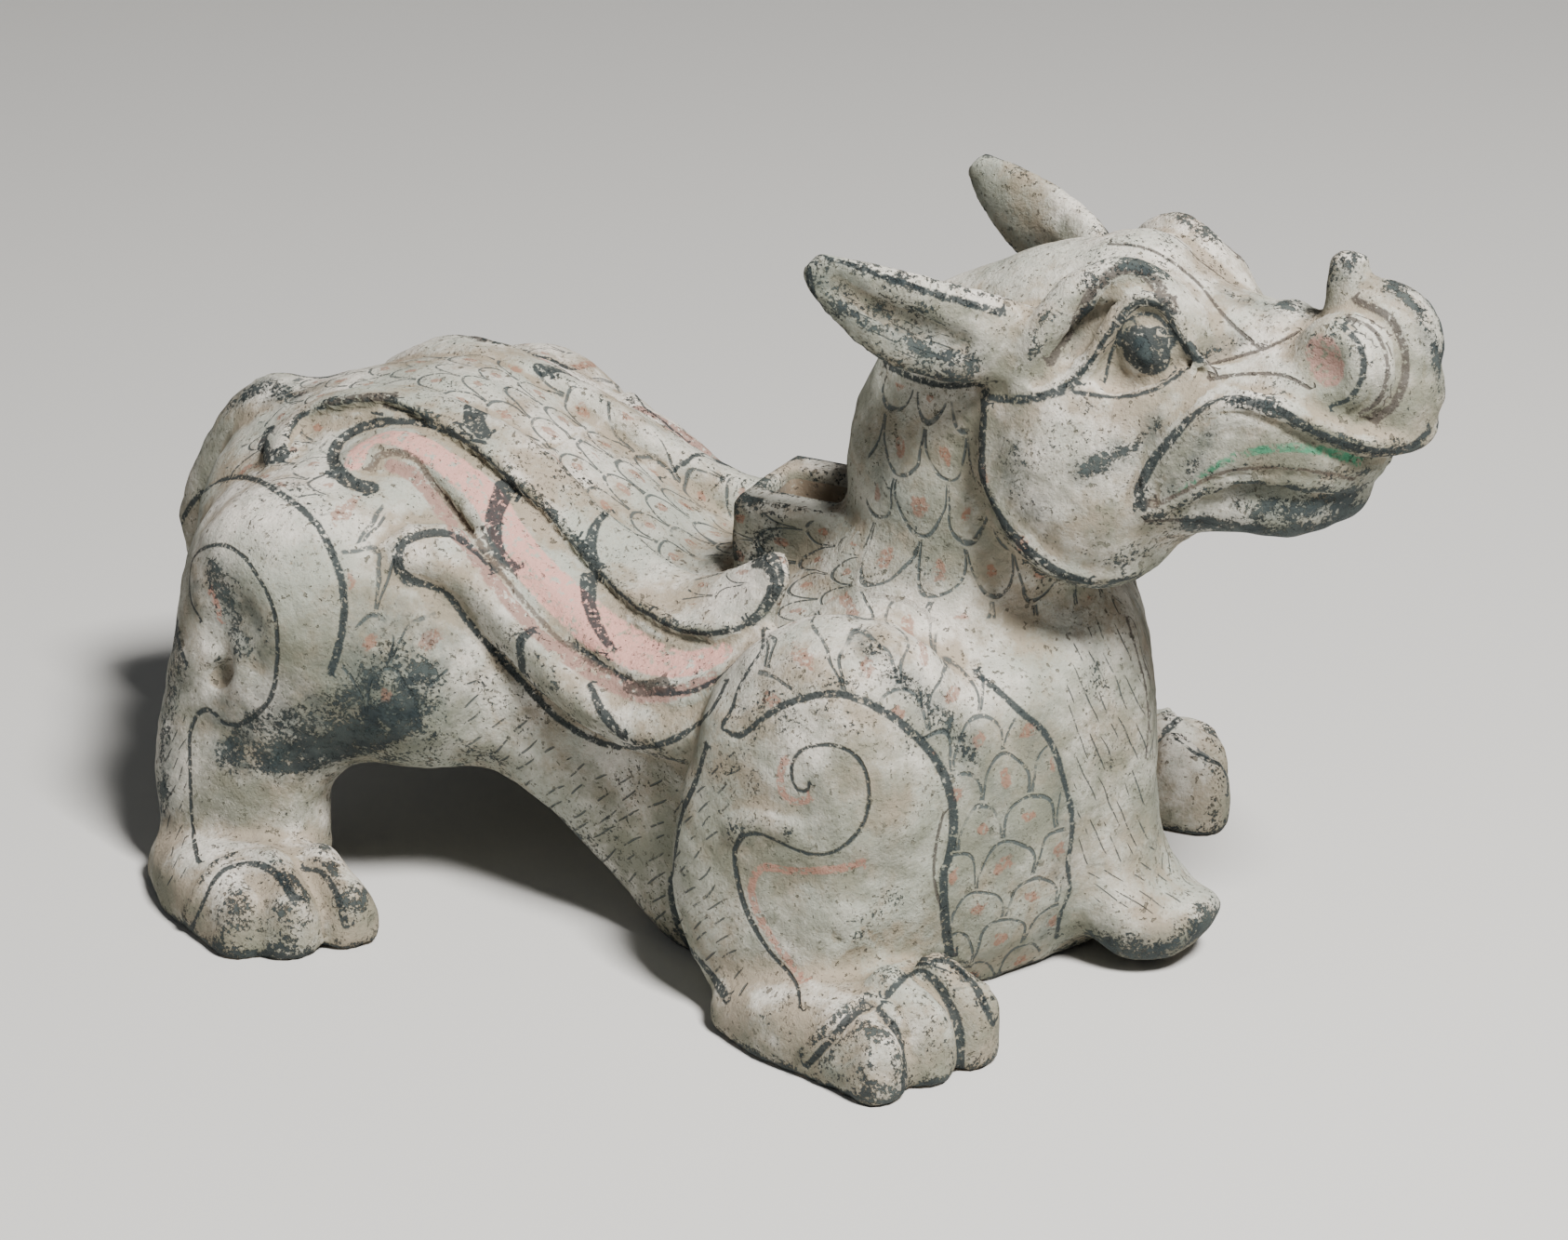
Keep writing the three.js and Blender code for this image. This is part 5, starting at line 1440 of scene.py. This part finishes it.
def brush_group():
    """A brush line, ragged and worn.

    The mask is 1 where the distance from the line, less the half width, plus two noises times
    the raggedness, is below zero. It never strays far past the line's edge, and it is left out
    where a third noise is below the wear.
    """
    tree, w, given, result = new_group(
        "brush_line",
        (("Vector", "Vector", None), ("Signed", "Float", 0.0), ("Half Width", "Float", 1.0),
         ("Edge", "Float", 0.0), ("Rag", "Float", 1.0), ("Worn", "Float", 0.4)),
        (("Mask", "Float", None),))
    v = given["Vector"]
    fine = w.swing(v, 1400, detail=2)
    broad = w.swing(v, 260, detail=2, offset=3.0)
    ragged = w.times(w.plus(fine, broad), given["Rag"])
    outside = w.minus(w.math("ABSOLUTE", given["Signed"]), given["Half Width"])
    line = w.step(w.plus(outside, ragged), LINE_SOFTNESS, -LINE_SOFTNESS)
    near = w.step(given["Edge"], LINE_GONE, LINE_WHOLE)
    patchy = w.noise(v, 520, detail=4, roughness=0.65, offset=9.0)
    low = w.minus(given["Worn"], WEAR_SOFTNESS)
    kept = w.step(patchy, low, w.plus(given["Worn"], WEAR_SOFTNESS))
    tree.links.new(w.times(line, near, kept), result["Mask"])
    return tree


def scale_group():
    """Painted scales: an arc over each cell of offset rows, and a dot under each arc.

    Every second row is shifted by half a cell. In a cell the arc is where the n-th root of
    |2 across|^n + |up|^n is near its radius, with n the roundness, and the dot is a flattened
    circle round its centre. Noise bends the rows, roughens both and wears them away.
    """
    tree, w, given, result = new_group(
        "scale_rows",
        (("Vector", "Vector", None), ("Column", "Float", 0.0), ("Row", "Float", 0.0),
         ("Mask", "Float", 0.0), ("Width", "Float", 0.035)),
        (("Line", "Float", None), ("Dot", "Float", None)))
    v = given["Vector"]
    # place in the cell
    column = w.plus(given["Column"], w.times(w.swing(v, 45, detail=1), ROW_SWAY))
    row = w.plus(given["Row"], w.times(w.swing(v, 55, detail=1, offset=5.0), ROW_SWAY))
    whole = w.math("FLOOR", row)
    up = w.minus(row, whole)
    shift = w.times(w.math("FLOORED_MODULO", whole, 2.0), 0.5)
    across = w.minus(w.math("FRACT", w.plus(column, shift)), 0.5)
    # the arc
    wide = w.math("POWER", w.math("ABSOLUTE", w.times(across, 2.0)), SCALE_ROUNDNESS)
    tall = w.math("POWER", w.times(up, 1.06), SCALE_ROUNDNESS)
    radius = w.math("POWER", w.plus(wide, tall), 1 / SCALE_ROUNDNESS)
    off = w.math("ABSOLUTE", w.minus(radius, SCALE_RADIUS))
    uneven = w.times(w.noise(v, 120), w.times(given["Width"], 2.0))
    line = w.step(w.minus(off, uneven), 0.03, -0.012)
    # the dot
    dot_y = w.times(w.minus(up, DOT_HEIGHT), 0.8)
    away = w.math("SQRT", w.plus(w.times(across, across), w.times(dot_y, dot_y)))
    rough = w.times(w.swing(v, 420, detail=2, offset=2.0), 0.22)
    dot = w.step(w.plus(away, rough), 0.15, 0.10)
    # what is left of both
    shown = w.step(given["Mask"], 0.45, 0.75)
    worn = w.step(w.noise(v, 70, detail=3, roughness=0.6, offset=7.0), 0.31, 0.45)
    scratched = w.step(w.noise(v, 600, detail=3, roughness=0.6, offset=4.0), 0.36, 0.48)
    tree.links.new(w.times(line, shown, worn, scratched), result["Line"])
    tree.links.new(w.times(dot, shown, scratched), result["Dot"])
    return tree


def wear_group():
    """Flaked wear: fine speckles that join into patches as the amount rises.

    A fine noise shows where it passes a level that falls with the amount. The amount swings
    with a broad noise, and a third noise keeps small islands of slip.
    """
    tree, w, given, result = new_group(
        "flaked_wear",
        (("Vector", "Vector", None), ("Amount", "Float", 0.0), ("Size", "Float", 130.0),
         ("Soft", "Float", 0.07)),
        (("Mask", "Float", None),))
    v = given["Vector"]
    size = given["Size"]
    patches = w.times(w.swing(v, size, detail=4, roughness=0.6), 2.4)
    swung = w.times(patches, w.plus(given["Amount"], 0.15))
    amount = w.plus(given["Amount"], swung)
    level = w.minus(0.70, w.times(amount, 0.30))
    fine = w.noise(v, w.times(size, 5.5), detail=5, roughness=0.72, offset=1.7)
    flaked = w.step(fine, level, w.plus(level, given["Soft"]))
    islands = w.noise(v, w.times(size, 3.4), detail=4, roughness=0.7, offset=4.4)
    tree.links.new(w.times(flaked, w.step(islands, 0.66, 0.60)), result["Mask"])
    return tree


def hair_group():
    """Short hair strokes: one slanted, tapered dash in each cell, moved a little cell by cell.

    Every column is shifted by a share of a cell. White noise at the cell's number gives the
    dash its offset, its lean and its length, and its half width falls towards both ends.
    """
    tree, w, given, result = new_group(
        "hair_strokes",
        (("Vector", "Vector", None), ("Across", "Float", 0.0), ("Along", "Float", 0.0),
         ("Mask", "Float", 0.0), ("Width", "Float", 0.045)),
        (("Line", "Float", None),))
    v = given["Vector"]
    # place in the cell
    counted = w.plus(given["Across"], w.times(w.swing(v, 60, detail=1, offset=13.0), 0.7))
    column = w.math("FLOOR", counted)
    across = w.minus(w.math("FRACT", counted), 0.5)
    shift = w.times(w.math("FLOORED_MODULO", column, 3.0), 0.37)
    shifted = w.plus(given["Along"], shift)
    row = w.math("FLOOR", shifted)
    place = w.minus(w.math("FRACT", shifted), 0.5)
    # the cell's own numbers
    cell = w.node("ShaderNodeCombineXYZ", {0: column, 1: row}).outputs[0]
    random = w.node("ShaderNodeTexWhiteNoise", {"Vector": cell}).outputs["Color"]
    one, two, three = w.node("ShaderNodeSeparateXYZ", {0: random}).outputs
    centre = w.times(w.minus(one, 0.5), 0.45)
    lean = w.times(w.minus(two, 0.5), 0.7, place)
    length = w.plus(w.times(three, 0.2), 0.22)
    # the dash
    from_middle = w.math("ABSOLUTE", place)
    off = w.math("ABSOLUTE", w.minus(w.minus(across, centre), lean))
    half = w.times(given["Width"], w.step(from_middle, 0.5, 0.12, to_low=0.15, to_high=1.0))
    ends = w.step(w.minus(from_middle, length), 0.03, -0.03)
    line = w.step(w.minus(off, half), 0.035, -0.02)
    # what is left of it
    shown = w.step(given["Mask"], 0.4, 0.7)
    worn = w.step(w.noise(v, 95, detail=3, roughness=0.6, offset=15.0), 0.36, 0.46)
    scratched = w.step(w.noise(v, 700, detail=3, roughness=0.6, offset=16.0), 0.36, 0.46)
    tree.links.new(w.times(line, ends, worn, scratched, shown), result["Line"])
    return tree


def ground_group():
    """The aged white slip: warm and cool drifts, brown dirt in hollows and fine specks.

    Each layer is mixed in by a noise stretched between two levels, slow ones first. The height
    is a swell and the grain, less the pits and the specks.
    """
    tree, w, given, result = new_group(
        "aged_slip",
        (("Vector", "Vector", None), ("Clean", "Color", None), ("Cool", "Color", None),
         ("Dirt", "Color", None), ("Speck", "Color", None), ("Hollow", "Float", 0.0)),
        (("Color", "Color", None), ("Height", "Float", None)))
    v = given["Vector"]
    # clean and cool slip
    drift = w.step(w.noise(v, 14, detail=4, roughness=0.6), 0.40, 0.62)
    color = w.mix(drift, given["Clean"], given["Cool"])
    clouds = w.noise(v, 70, detail=6, roughness=0.7, offset=2.0)
    color = w.mix(w.step(clouds, 0.44, 0.70, to_high=0.7), color, given["Cool"])
    # soil in broad stains and in the grain
    stains = w.noise(v, 36, detail=6, roughness=0.7, offset=4.0)
    soil = w.plus(stains, w.times(given["Hollow"], 0.13))
    color = w.mix(w.step(soil, 0.44, 0.64, to_high=0.8), color, given["Dirt"])
    grain = w.noise(v, 900, detail=4, roughness=0.7)
    color = w.mix(w.step(grain, 0.52, 0.68, to_high=0.42), color, given["Dirt"])
    # specks in patches, and pits
    patch = w.step(w.noise(v, 48, detail=4, roughness=0.65, offset=6.0), 0.38, 0.62)
    spots = w.step(w.noise(v, 620, detail=3, roughness=0.6, offset=8.0), 0.60, 0.66)
    specks = w.times(spots, patch)
    color = w.mix(w.times(specks, 0.72), color, given["Speck"])
    pits = w.step(w.noise(v, 330, detail=3, roughness=0.55, offset=11.0), 0.65, 0.69)
    color = w.mix(w.times(pits, 0.8), color, given["Speck"])
    # the surface
    swell = w.times(w.noise(v, 150, detail=6, roughness=0.65), 0.9)
    layers = w.plus(swell, w.times(grain, 0.22))
    lost = w.plus(w.times(pits, 0.5), w.times(specks, 0.2))
    tree.links.new(color, result["Color"])
    tree.links.new(w.minus(layers, lost), result["Height"])
    return tree


def rgba(color):
    """A colour with full alpha."""
    return (*color, 1)


def painted_material(settings, groups):
    """The painted slip of the whole beast, layer on layer as it was made and as it aged.

    Each layer is mixed over the ones before by its mask times how fully it covers them. The film on the
    sides, some of the washes and the roll under the pink band are partly painted shade.
    """
    material = bpy.data.materials.new("painted_slip")
    material.use_nodes = True
    w = Wires(material.node_tree)
    shader = material.node_tree.nodes["Principled BSDF"]
    v = w.node("ShaderNodeTexCoord").outputs["Object"]
    fine_ridge, broad_ridge, height, facing = w.attribute("form")
    pink_edge, green_edge, wash_and_shade, roll_edge = w.attribute("tint")

    # the slip, dirtier in hollows and near the ground
    near_ground = w.step(height, 34.0, 2.0, to_high=0.8)
    hollow = w.plus(w.step(fine_ridge, 0.05, -0.45), near_ground)
    ground = w.group(groups["ground"], {
        "Vector": v, "Clean": rgba(settings.slip_color), "Cool": rgba(settings.cool_color),
        "Dirt": rgba(settings.dirt_color), "Speck": rgba(settings.speck_color), "Hollow": hollow})
    color = ground["Color"]

    # a film, partly grime and partly painted shade: greenish brown, in clouds, mostly on what faces
    # sideways and down, and weaker on what stands out far
    cloudy = w.noise(v, 32, detail=6, roughness=0.72, offset=26.0)
    grime_and_shade = w.times(
        w.step(cloudy, 0.36, 0.64, to_low=0.30, to_high=1.0),
        w.step(facing, 0.92, -0.05, to_low=0.12, to_high=0.92),
        w.step(broad_ridge, 13.0, 3.0, to_low=0.55, to_high=1.0))
    color = w.mix(grime_and_shade, color, rgba(settings.grime_and_shade_color))

    # filled colours; the roll's darker pink is partly painted shade
    soft_noise = w.times(w.swing(v, 500, detail=3, offset=12.0), 2.0)
    flaked = w.step(w.noise(v, 330, detail=5, roughness=0.66, offset=14.0), 0.37, 0.48)
    fills = ((roll_edge, settings.roll_color, "roll"), (pink_edge, settings.pink_color, "pink"),
             (green_edge, settings.green_color, "green"))
    for edge, tint, name in fills:
        filled = w.step(w.plus(edge, soft_noise), 0.5, -0.7)
        color = w.mix(w.times(filled, flaked, COVER[name]), color, rgba(tint))

    # scales and hair strokes
    column, row, _, shown = w.attribute("cells")
    scales = w.group(groups["scales"], {
        "Vector": v, "Column": column, "Row": row, "Mask": shown})
    color = w.mix(w.times(scales["Line"], COVER["scale"]), color, rgba(settings.line_color))
    color = w.mix(w.times(scales["Dot"], COVER["dot"]), color, rgba(settings.dot_color))
    across, along, _, haired = w.attribute("hairs")
    hair = w.group(groups["hair"], {
        "Vector": v, "Across": across, "Along": along, "Mask": haired})["Line"]
    color = w.mix(w.times(hair, COVER["hair"]), color, rgba(settings.line_color))

    # grey stains, and in the hollows of the haunch, under the jaw and in the ear partly painted shade
    cloud = w.noise(v, 120, detail=6, roughness=0.75, offset=24.0)
    stain_and_shade = w.times(wash_and_shade, w.step(cloud, 0.38, 0.62, to_low=0.15, to_high=1.0), COVER["stain"])
    color = w.mix(stain_and_shade, color, rgba(settings.wash_and_shade_color))

    # brush lines, brown where their tone is low
    masks = {}
    tones = {}
    for name, rag, worn in BRUSHES:
        signed, half, tones[name], edge = w.attribute(name)
        masks[name] = w.group(groups["brush"], {
            "Vector": v, "Signed": signed, "Half Width": half, "Edge": edge, "Rag": rag,
            "Worn": worn})["Mask"]
    color = w.mix(w.times(masks["red"], COVER["red"]), color, rgba(settings.red_color))
    for name in ("fine", "broad"):
        dark = w.step(tones[name], 0.2, 1.0)
        ink = w.mix(dark, rgba(settings.brown_line_color), rgba(settings.ink_color))
        full = w.step(tones[name], 0.0, 1.0, to_low=0.72, to_high=0.92)
        color = w.mix(w.times(masks[name], full), color, ink)

    # wear on ridges and feet and in patches; it also grows on what faces down, so undersides come out
    # darker, and where the washes are strong, so it deepens their stains and their painted shade
    worn_patches = w.noise(v, 22, detail=3, roughness=0.6, offset=20.0)
    amount = w.plus(
        w.step(fine_ridge, 0.15, 0.9, to_high=0.42), w.step(broad_ridge, 2.0, 9.0, to_high=0.08),
        w.step(height, 7.0, 0.5, to_high=0.26), w.step(facing, -0.05, -0.8, to_high=0.42),
        w.step(worn_patches, 0.40, 0.68, to_high=0.42), w.step(wash_and_shade, 0.25, 1.2))
    amount = w.math("MINIMUM", amount, MOST_WEAR)
    wear = w.group(groups["wear"], {"Vector": v, "Amount": amount})["Mask"]
    mottled = w.step(w.noise(v, 90, detail=3, offset=22.0), 0.38, 0.62)
    worn_color = w.mix(mottled, rgba(settings.ink_color), rgba(settings.worn_color))
    color = w.mix(w.times(wear, COVER["wear"]), color, worn_color)
    w.tree.links.new(color, shader.inputs["Base Color"])

    # ink and bare clay are a little smoother than the slip
    bare_or_broad = w.math("MAXIMUM", masks["broad"], wear)
    painted = w.math("MAXIMUM", bare_or_broad, w.times(masks["fine"], 0.8))
    rough = w.step(painted, 0.0, 1.0, to_low=0.88, to_high=0.72)
    w.tree.links.new(rough, shader.inputs["Roughness"])

    # the surface, lower where it is drawn on or worn
    drawn = w.times(w.math("MAXIMUM", masks["fine"], hair), 0.4)
    lowered = w.plus(drawn, w.times(scales["Line"], 0.25), w.times(wear, 0.42))
    relief = w.minus(ground["Height"], lowered)
    bump = w.node("ShaderNodeBump", {"Height": relief, "Distance": SLIP_RELIEF, "Strength": 1.0})
    w.tree.links.new(bump.outputs["Normal"], shader.inputs["Normal"])
    shader.inputs["Specular IOR Level"].default_value = SLIP_GLOSS
    return material


def clay_material(settings, groups):
    """Bare grey clay with soil and smears of slip, in the socket and where the beast stands."""
    material = bpy.data.materials.new("bare_clay")
    material.use_nodes = True
    w = Wires(material.node_tree)
    shader = material.node_tree.nodes["Principled BSDF"]
    v = w.node("ShaderNodeTexCoord").outputs["Object"]
    ground = w.group(groups["ground"], {
        "Vector": v, "Clean": rgba(settings.clay_color), "Cool": rgba(settings.worn_color),
        "Dirt": rgba(settings.dirt_color), "Speck": rgba(settings.speck_color), "Hollow": 0.5})
    smears = w.group(groups["wear"], {"Vector": v, "Amount": 0.42, "Size": 120.0})["Mask"]
    color = w.mix(w.times(smears, COVER["smear"]), ground["Color"], rgba(settings.cool_color))
    w.tree.links.new(color, shader.inputs["Base Color"])
    shader.inputs["Roughness"].default_value = CLAY_ROUGHNESS
    bump = w.node("ShaderNodeBump", {
        "Height": ground["Height"], "Distance": CLAY_RELIEF, "Strength": 0.9})
    w.tree.links.new(bump.outputs["Normal"], shader.inputs["Normal"])
    return material


def color_property(name, description, default):
    """A colour that the user can change."""
    return bpy.props.FloatVectorProperty(
        name=name, description=description, subtype="COLOR", size=3, default=default, min=0, max=1)


class BeastSettings(bpy.types.PropertyGroup):
    """Sizes and colours of the beast."""

    mesh_step: bpy.props.FloatProperty(
        name="Mesh step", description="Grid step of the body's mesh",
        default=0.00233, min=0.0015, max=0.006, precision=5, unit="LENGTH")
    slip_color: color_property("Slip", "Clean slip", (0.72, 0.685, 0.625))
    cool_color: color_property("Cool slip", "Slip that has turned a greenish grey", (0.40, 0.42, 0.365))
    dirt_color: color_property("Dirt", "Brown soil in the hollows", (0.29, 0.225, 0.155))
    speck_color: color_property("Specks", "Small dark specks and pits", (0.10, 0.085, 0.065))
    ink_color: color_property("Ink", "Slate-black brush lines", (0.018, 0.028, 0.032))
    brown_line_color: color_property("Brown line", "Brown brush lines", (0.075, 0.052, 0.042))
    line_color: color_property("Scale line", "Thin grey lines of the scales", (0.050, 0.066, 0.070))
    dot_color: color_property("Scale dot", "Red-brown dot of each scale", (0.26, 0.105, 0.065))
    red_color: color_property("Red", "Faded red lines", (0.36, 0.17, 0.125))
    pink_color: color_property("Pink", "Pink of the middle wing band", (0.62, 0.335, 0.285))
    # Colour of the roll, a darker pink that is partly painted shade, and of the nostril
    roll_color: color_property(
        "Roll", "Roll under the middle wing band, and the nostril", (0.30, 0.185, 0.155))
    green_color: color_property("Green", "Green left in the mouth", (0.06, 0.22, 0.125))
    # Colour of the film on the sides: partly grime and partly painted shade
    grime_and_shade_color: color_property("Grime", "Greenish brown film on the sides", (0.165, 0.172, 0.128))
    # Colour of the washes: grey stains, and painted shade in the hollows
    wash_and_shade_color: color_property(
        "Wash", "Blue-grey cloud where the surface is stained", (0.045, 0.066, 0.068))
    worn_color: color_property("Worn", "Grey clay where the slip has worn away", (0.043, 0.058, 0.058))
    clay_color: color_property("Clay", "Bare clay in the socket and underneath", (0.24, 0.22, 0.19))


class StageSettings(bpy.types.PropertyGroup):
    """Floor, lights and camera."""

    floor_color: bpy.props.FloatVectorProperty(
        name="Floor", description="Colour of the floor", subtype="COLOR", size=3,
        default=(0.60, 0.60, 0.59), min=0, max=1)
    key_power: bpy.props.FloatProperty(
        name="Key light", description="Power of the large soft light in watts",
        default=150, min=0, max=500, unit="POWER")
    fill_power: bpy.props.FloatProperty(
        name="Fill light", description="Power of the light on the shaded side in watts",
        default=2.5, min=0, max=500, unit="POWER")


class TOMB_OT_beast(bpy.types.Operator):
    """Build the painted beast in place of its CAD solid"""

    bl_idname = "tomb_beast.beast"
    bl_label = "Beast"

    def execute(self, context):
        """Meshes the body, gives it its two materials and its paint, and hangs it on the frame."""
        settings = context.scene.tomb_beast
        points, quads = build_body(settings)
        groups = {"brush": brush_group(), "scales": scale_group(), "wear": wear_group(),
                  "ground": ground_group(), "hair": hair_group()}
        finishes = (painted_material(settings, groups), clay_material(settings, groups))
        body = new_object("painted_beast", points * MM, quads, finishes)
        body.data.polygons.foreach_set("material_index", bare_faces(points, quads).astype(np.int32))
        paint(body.data, points, quads)
        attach(body, "root")
        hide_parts(NODE)
        return {"FINISHED"}


class TOMB_OT_stage(bpy.types.Operator):
    """Build the floor, the lights and the camera"""

    bl_idname = "tomb_beast.stage"
    bl_label = "Stage"

    def execute(self, context):
        """Builds the stage from its settings."""
        settings = context.scene.tomb_stage
        build_floor(settings)
        build_lights(settings)
        build_camera(context)
        return {"FINISHED"}


class TOMB_PT_panel(bpy.types.Panel):
    """Panel in the sidebar of the 3D view"""

    bl_label = "Tomb Beast"
    bl_idname = "TOMB_PT_panel"
    bl_space_type = "VIEW_3D"
    bl_region_type = "UI"
    bl_category = "Tomb Beast"

    def draw(self, context):
        """Lists the settings of the beast and of the stage, each with its button."""
        beast = context.scene.tomb_beast
        stage = context.scene.tomb_stage
        for settings, operator in ((beast, TOMB_OT_beast), (stage, TOMB_OT_stage)):
            column = self.layout.column()
            for name in settings.__annotations__:
                column.prop(settings, name)
            column.operator(operator.bl_idname)


CLASSES = (BeastSettings, StageSettings, TOMB_OT_beast, TOMB_OT_stage, TOMB_PT_panel)


def register():
    """Adds the classes and the two groups of settings."""
    for made in CLASSES:
        bpy.utils.register_class(made)
    bpy.types.Scene.tomb_beast = bpy.props.PointerProperty(type=BeastSettings)
    bpy.types.Scene.tomb_stage = bpy.props.PointerProperty(type=StageSettings)


def unregister():
    """Takes the two groups of settings and the classes away."""
    del bpy.types.Scene.tomb_stage
    del bpy.types.Scene.tomb_beast
    for made in reversed(CLASSES):
        bpy.utils.unregister_class(made)


def main():
    register()
    bpy.ops.tomb_beast.beast()
    bpy.ops.tomb_beast.stage()


if __name__ == "__main__":
    main()
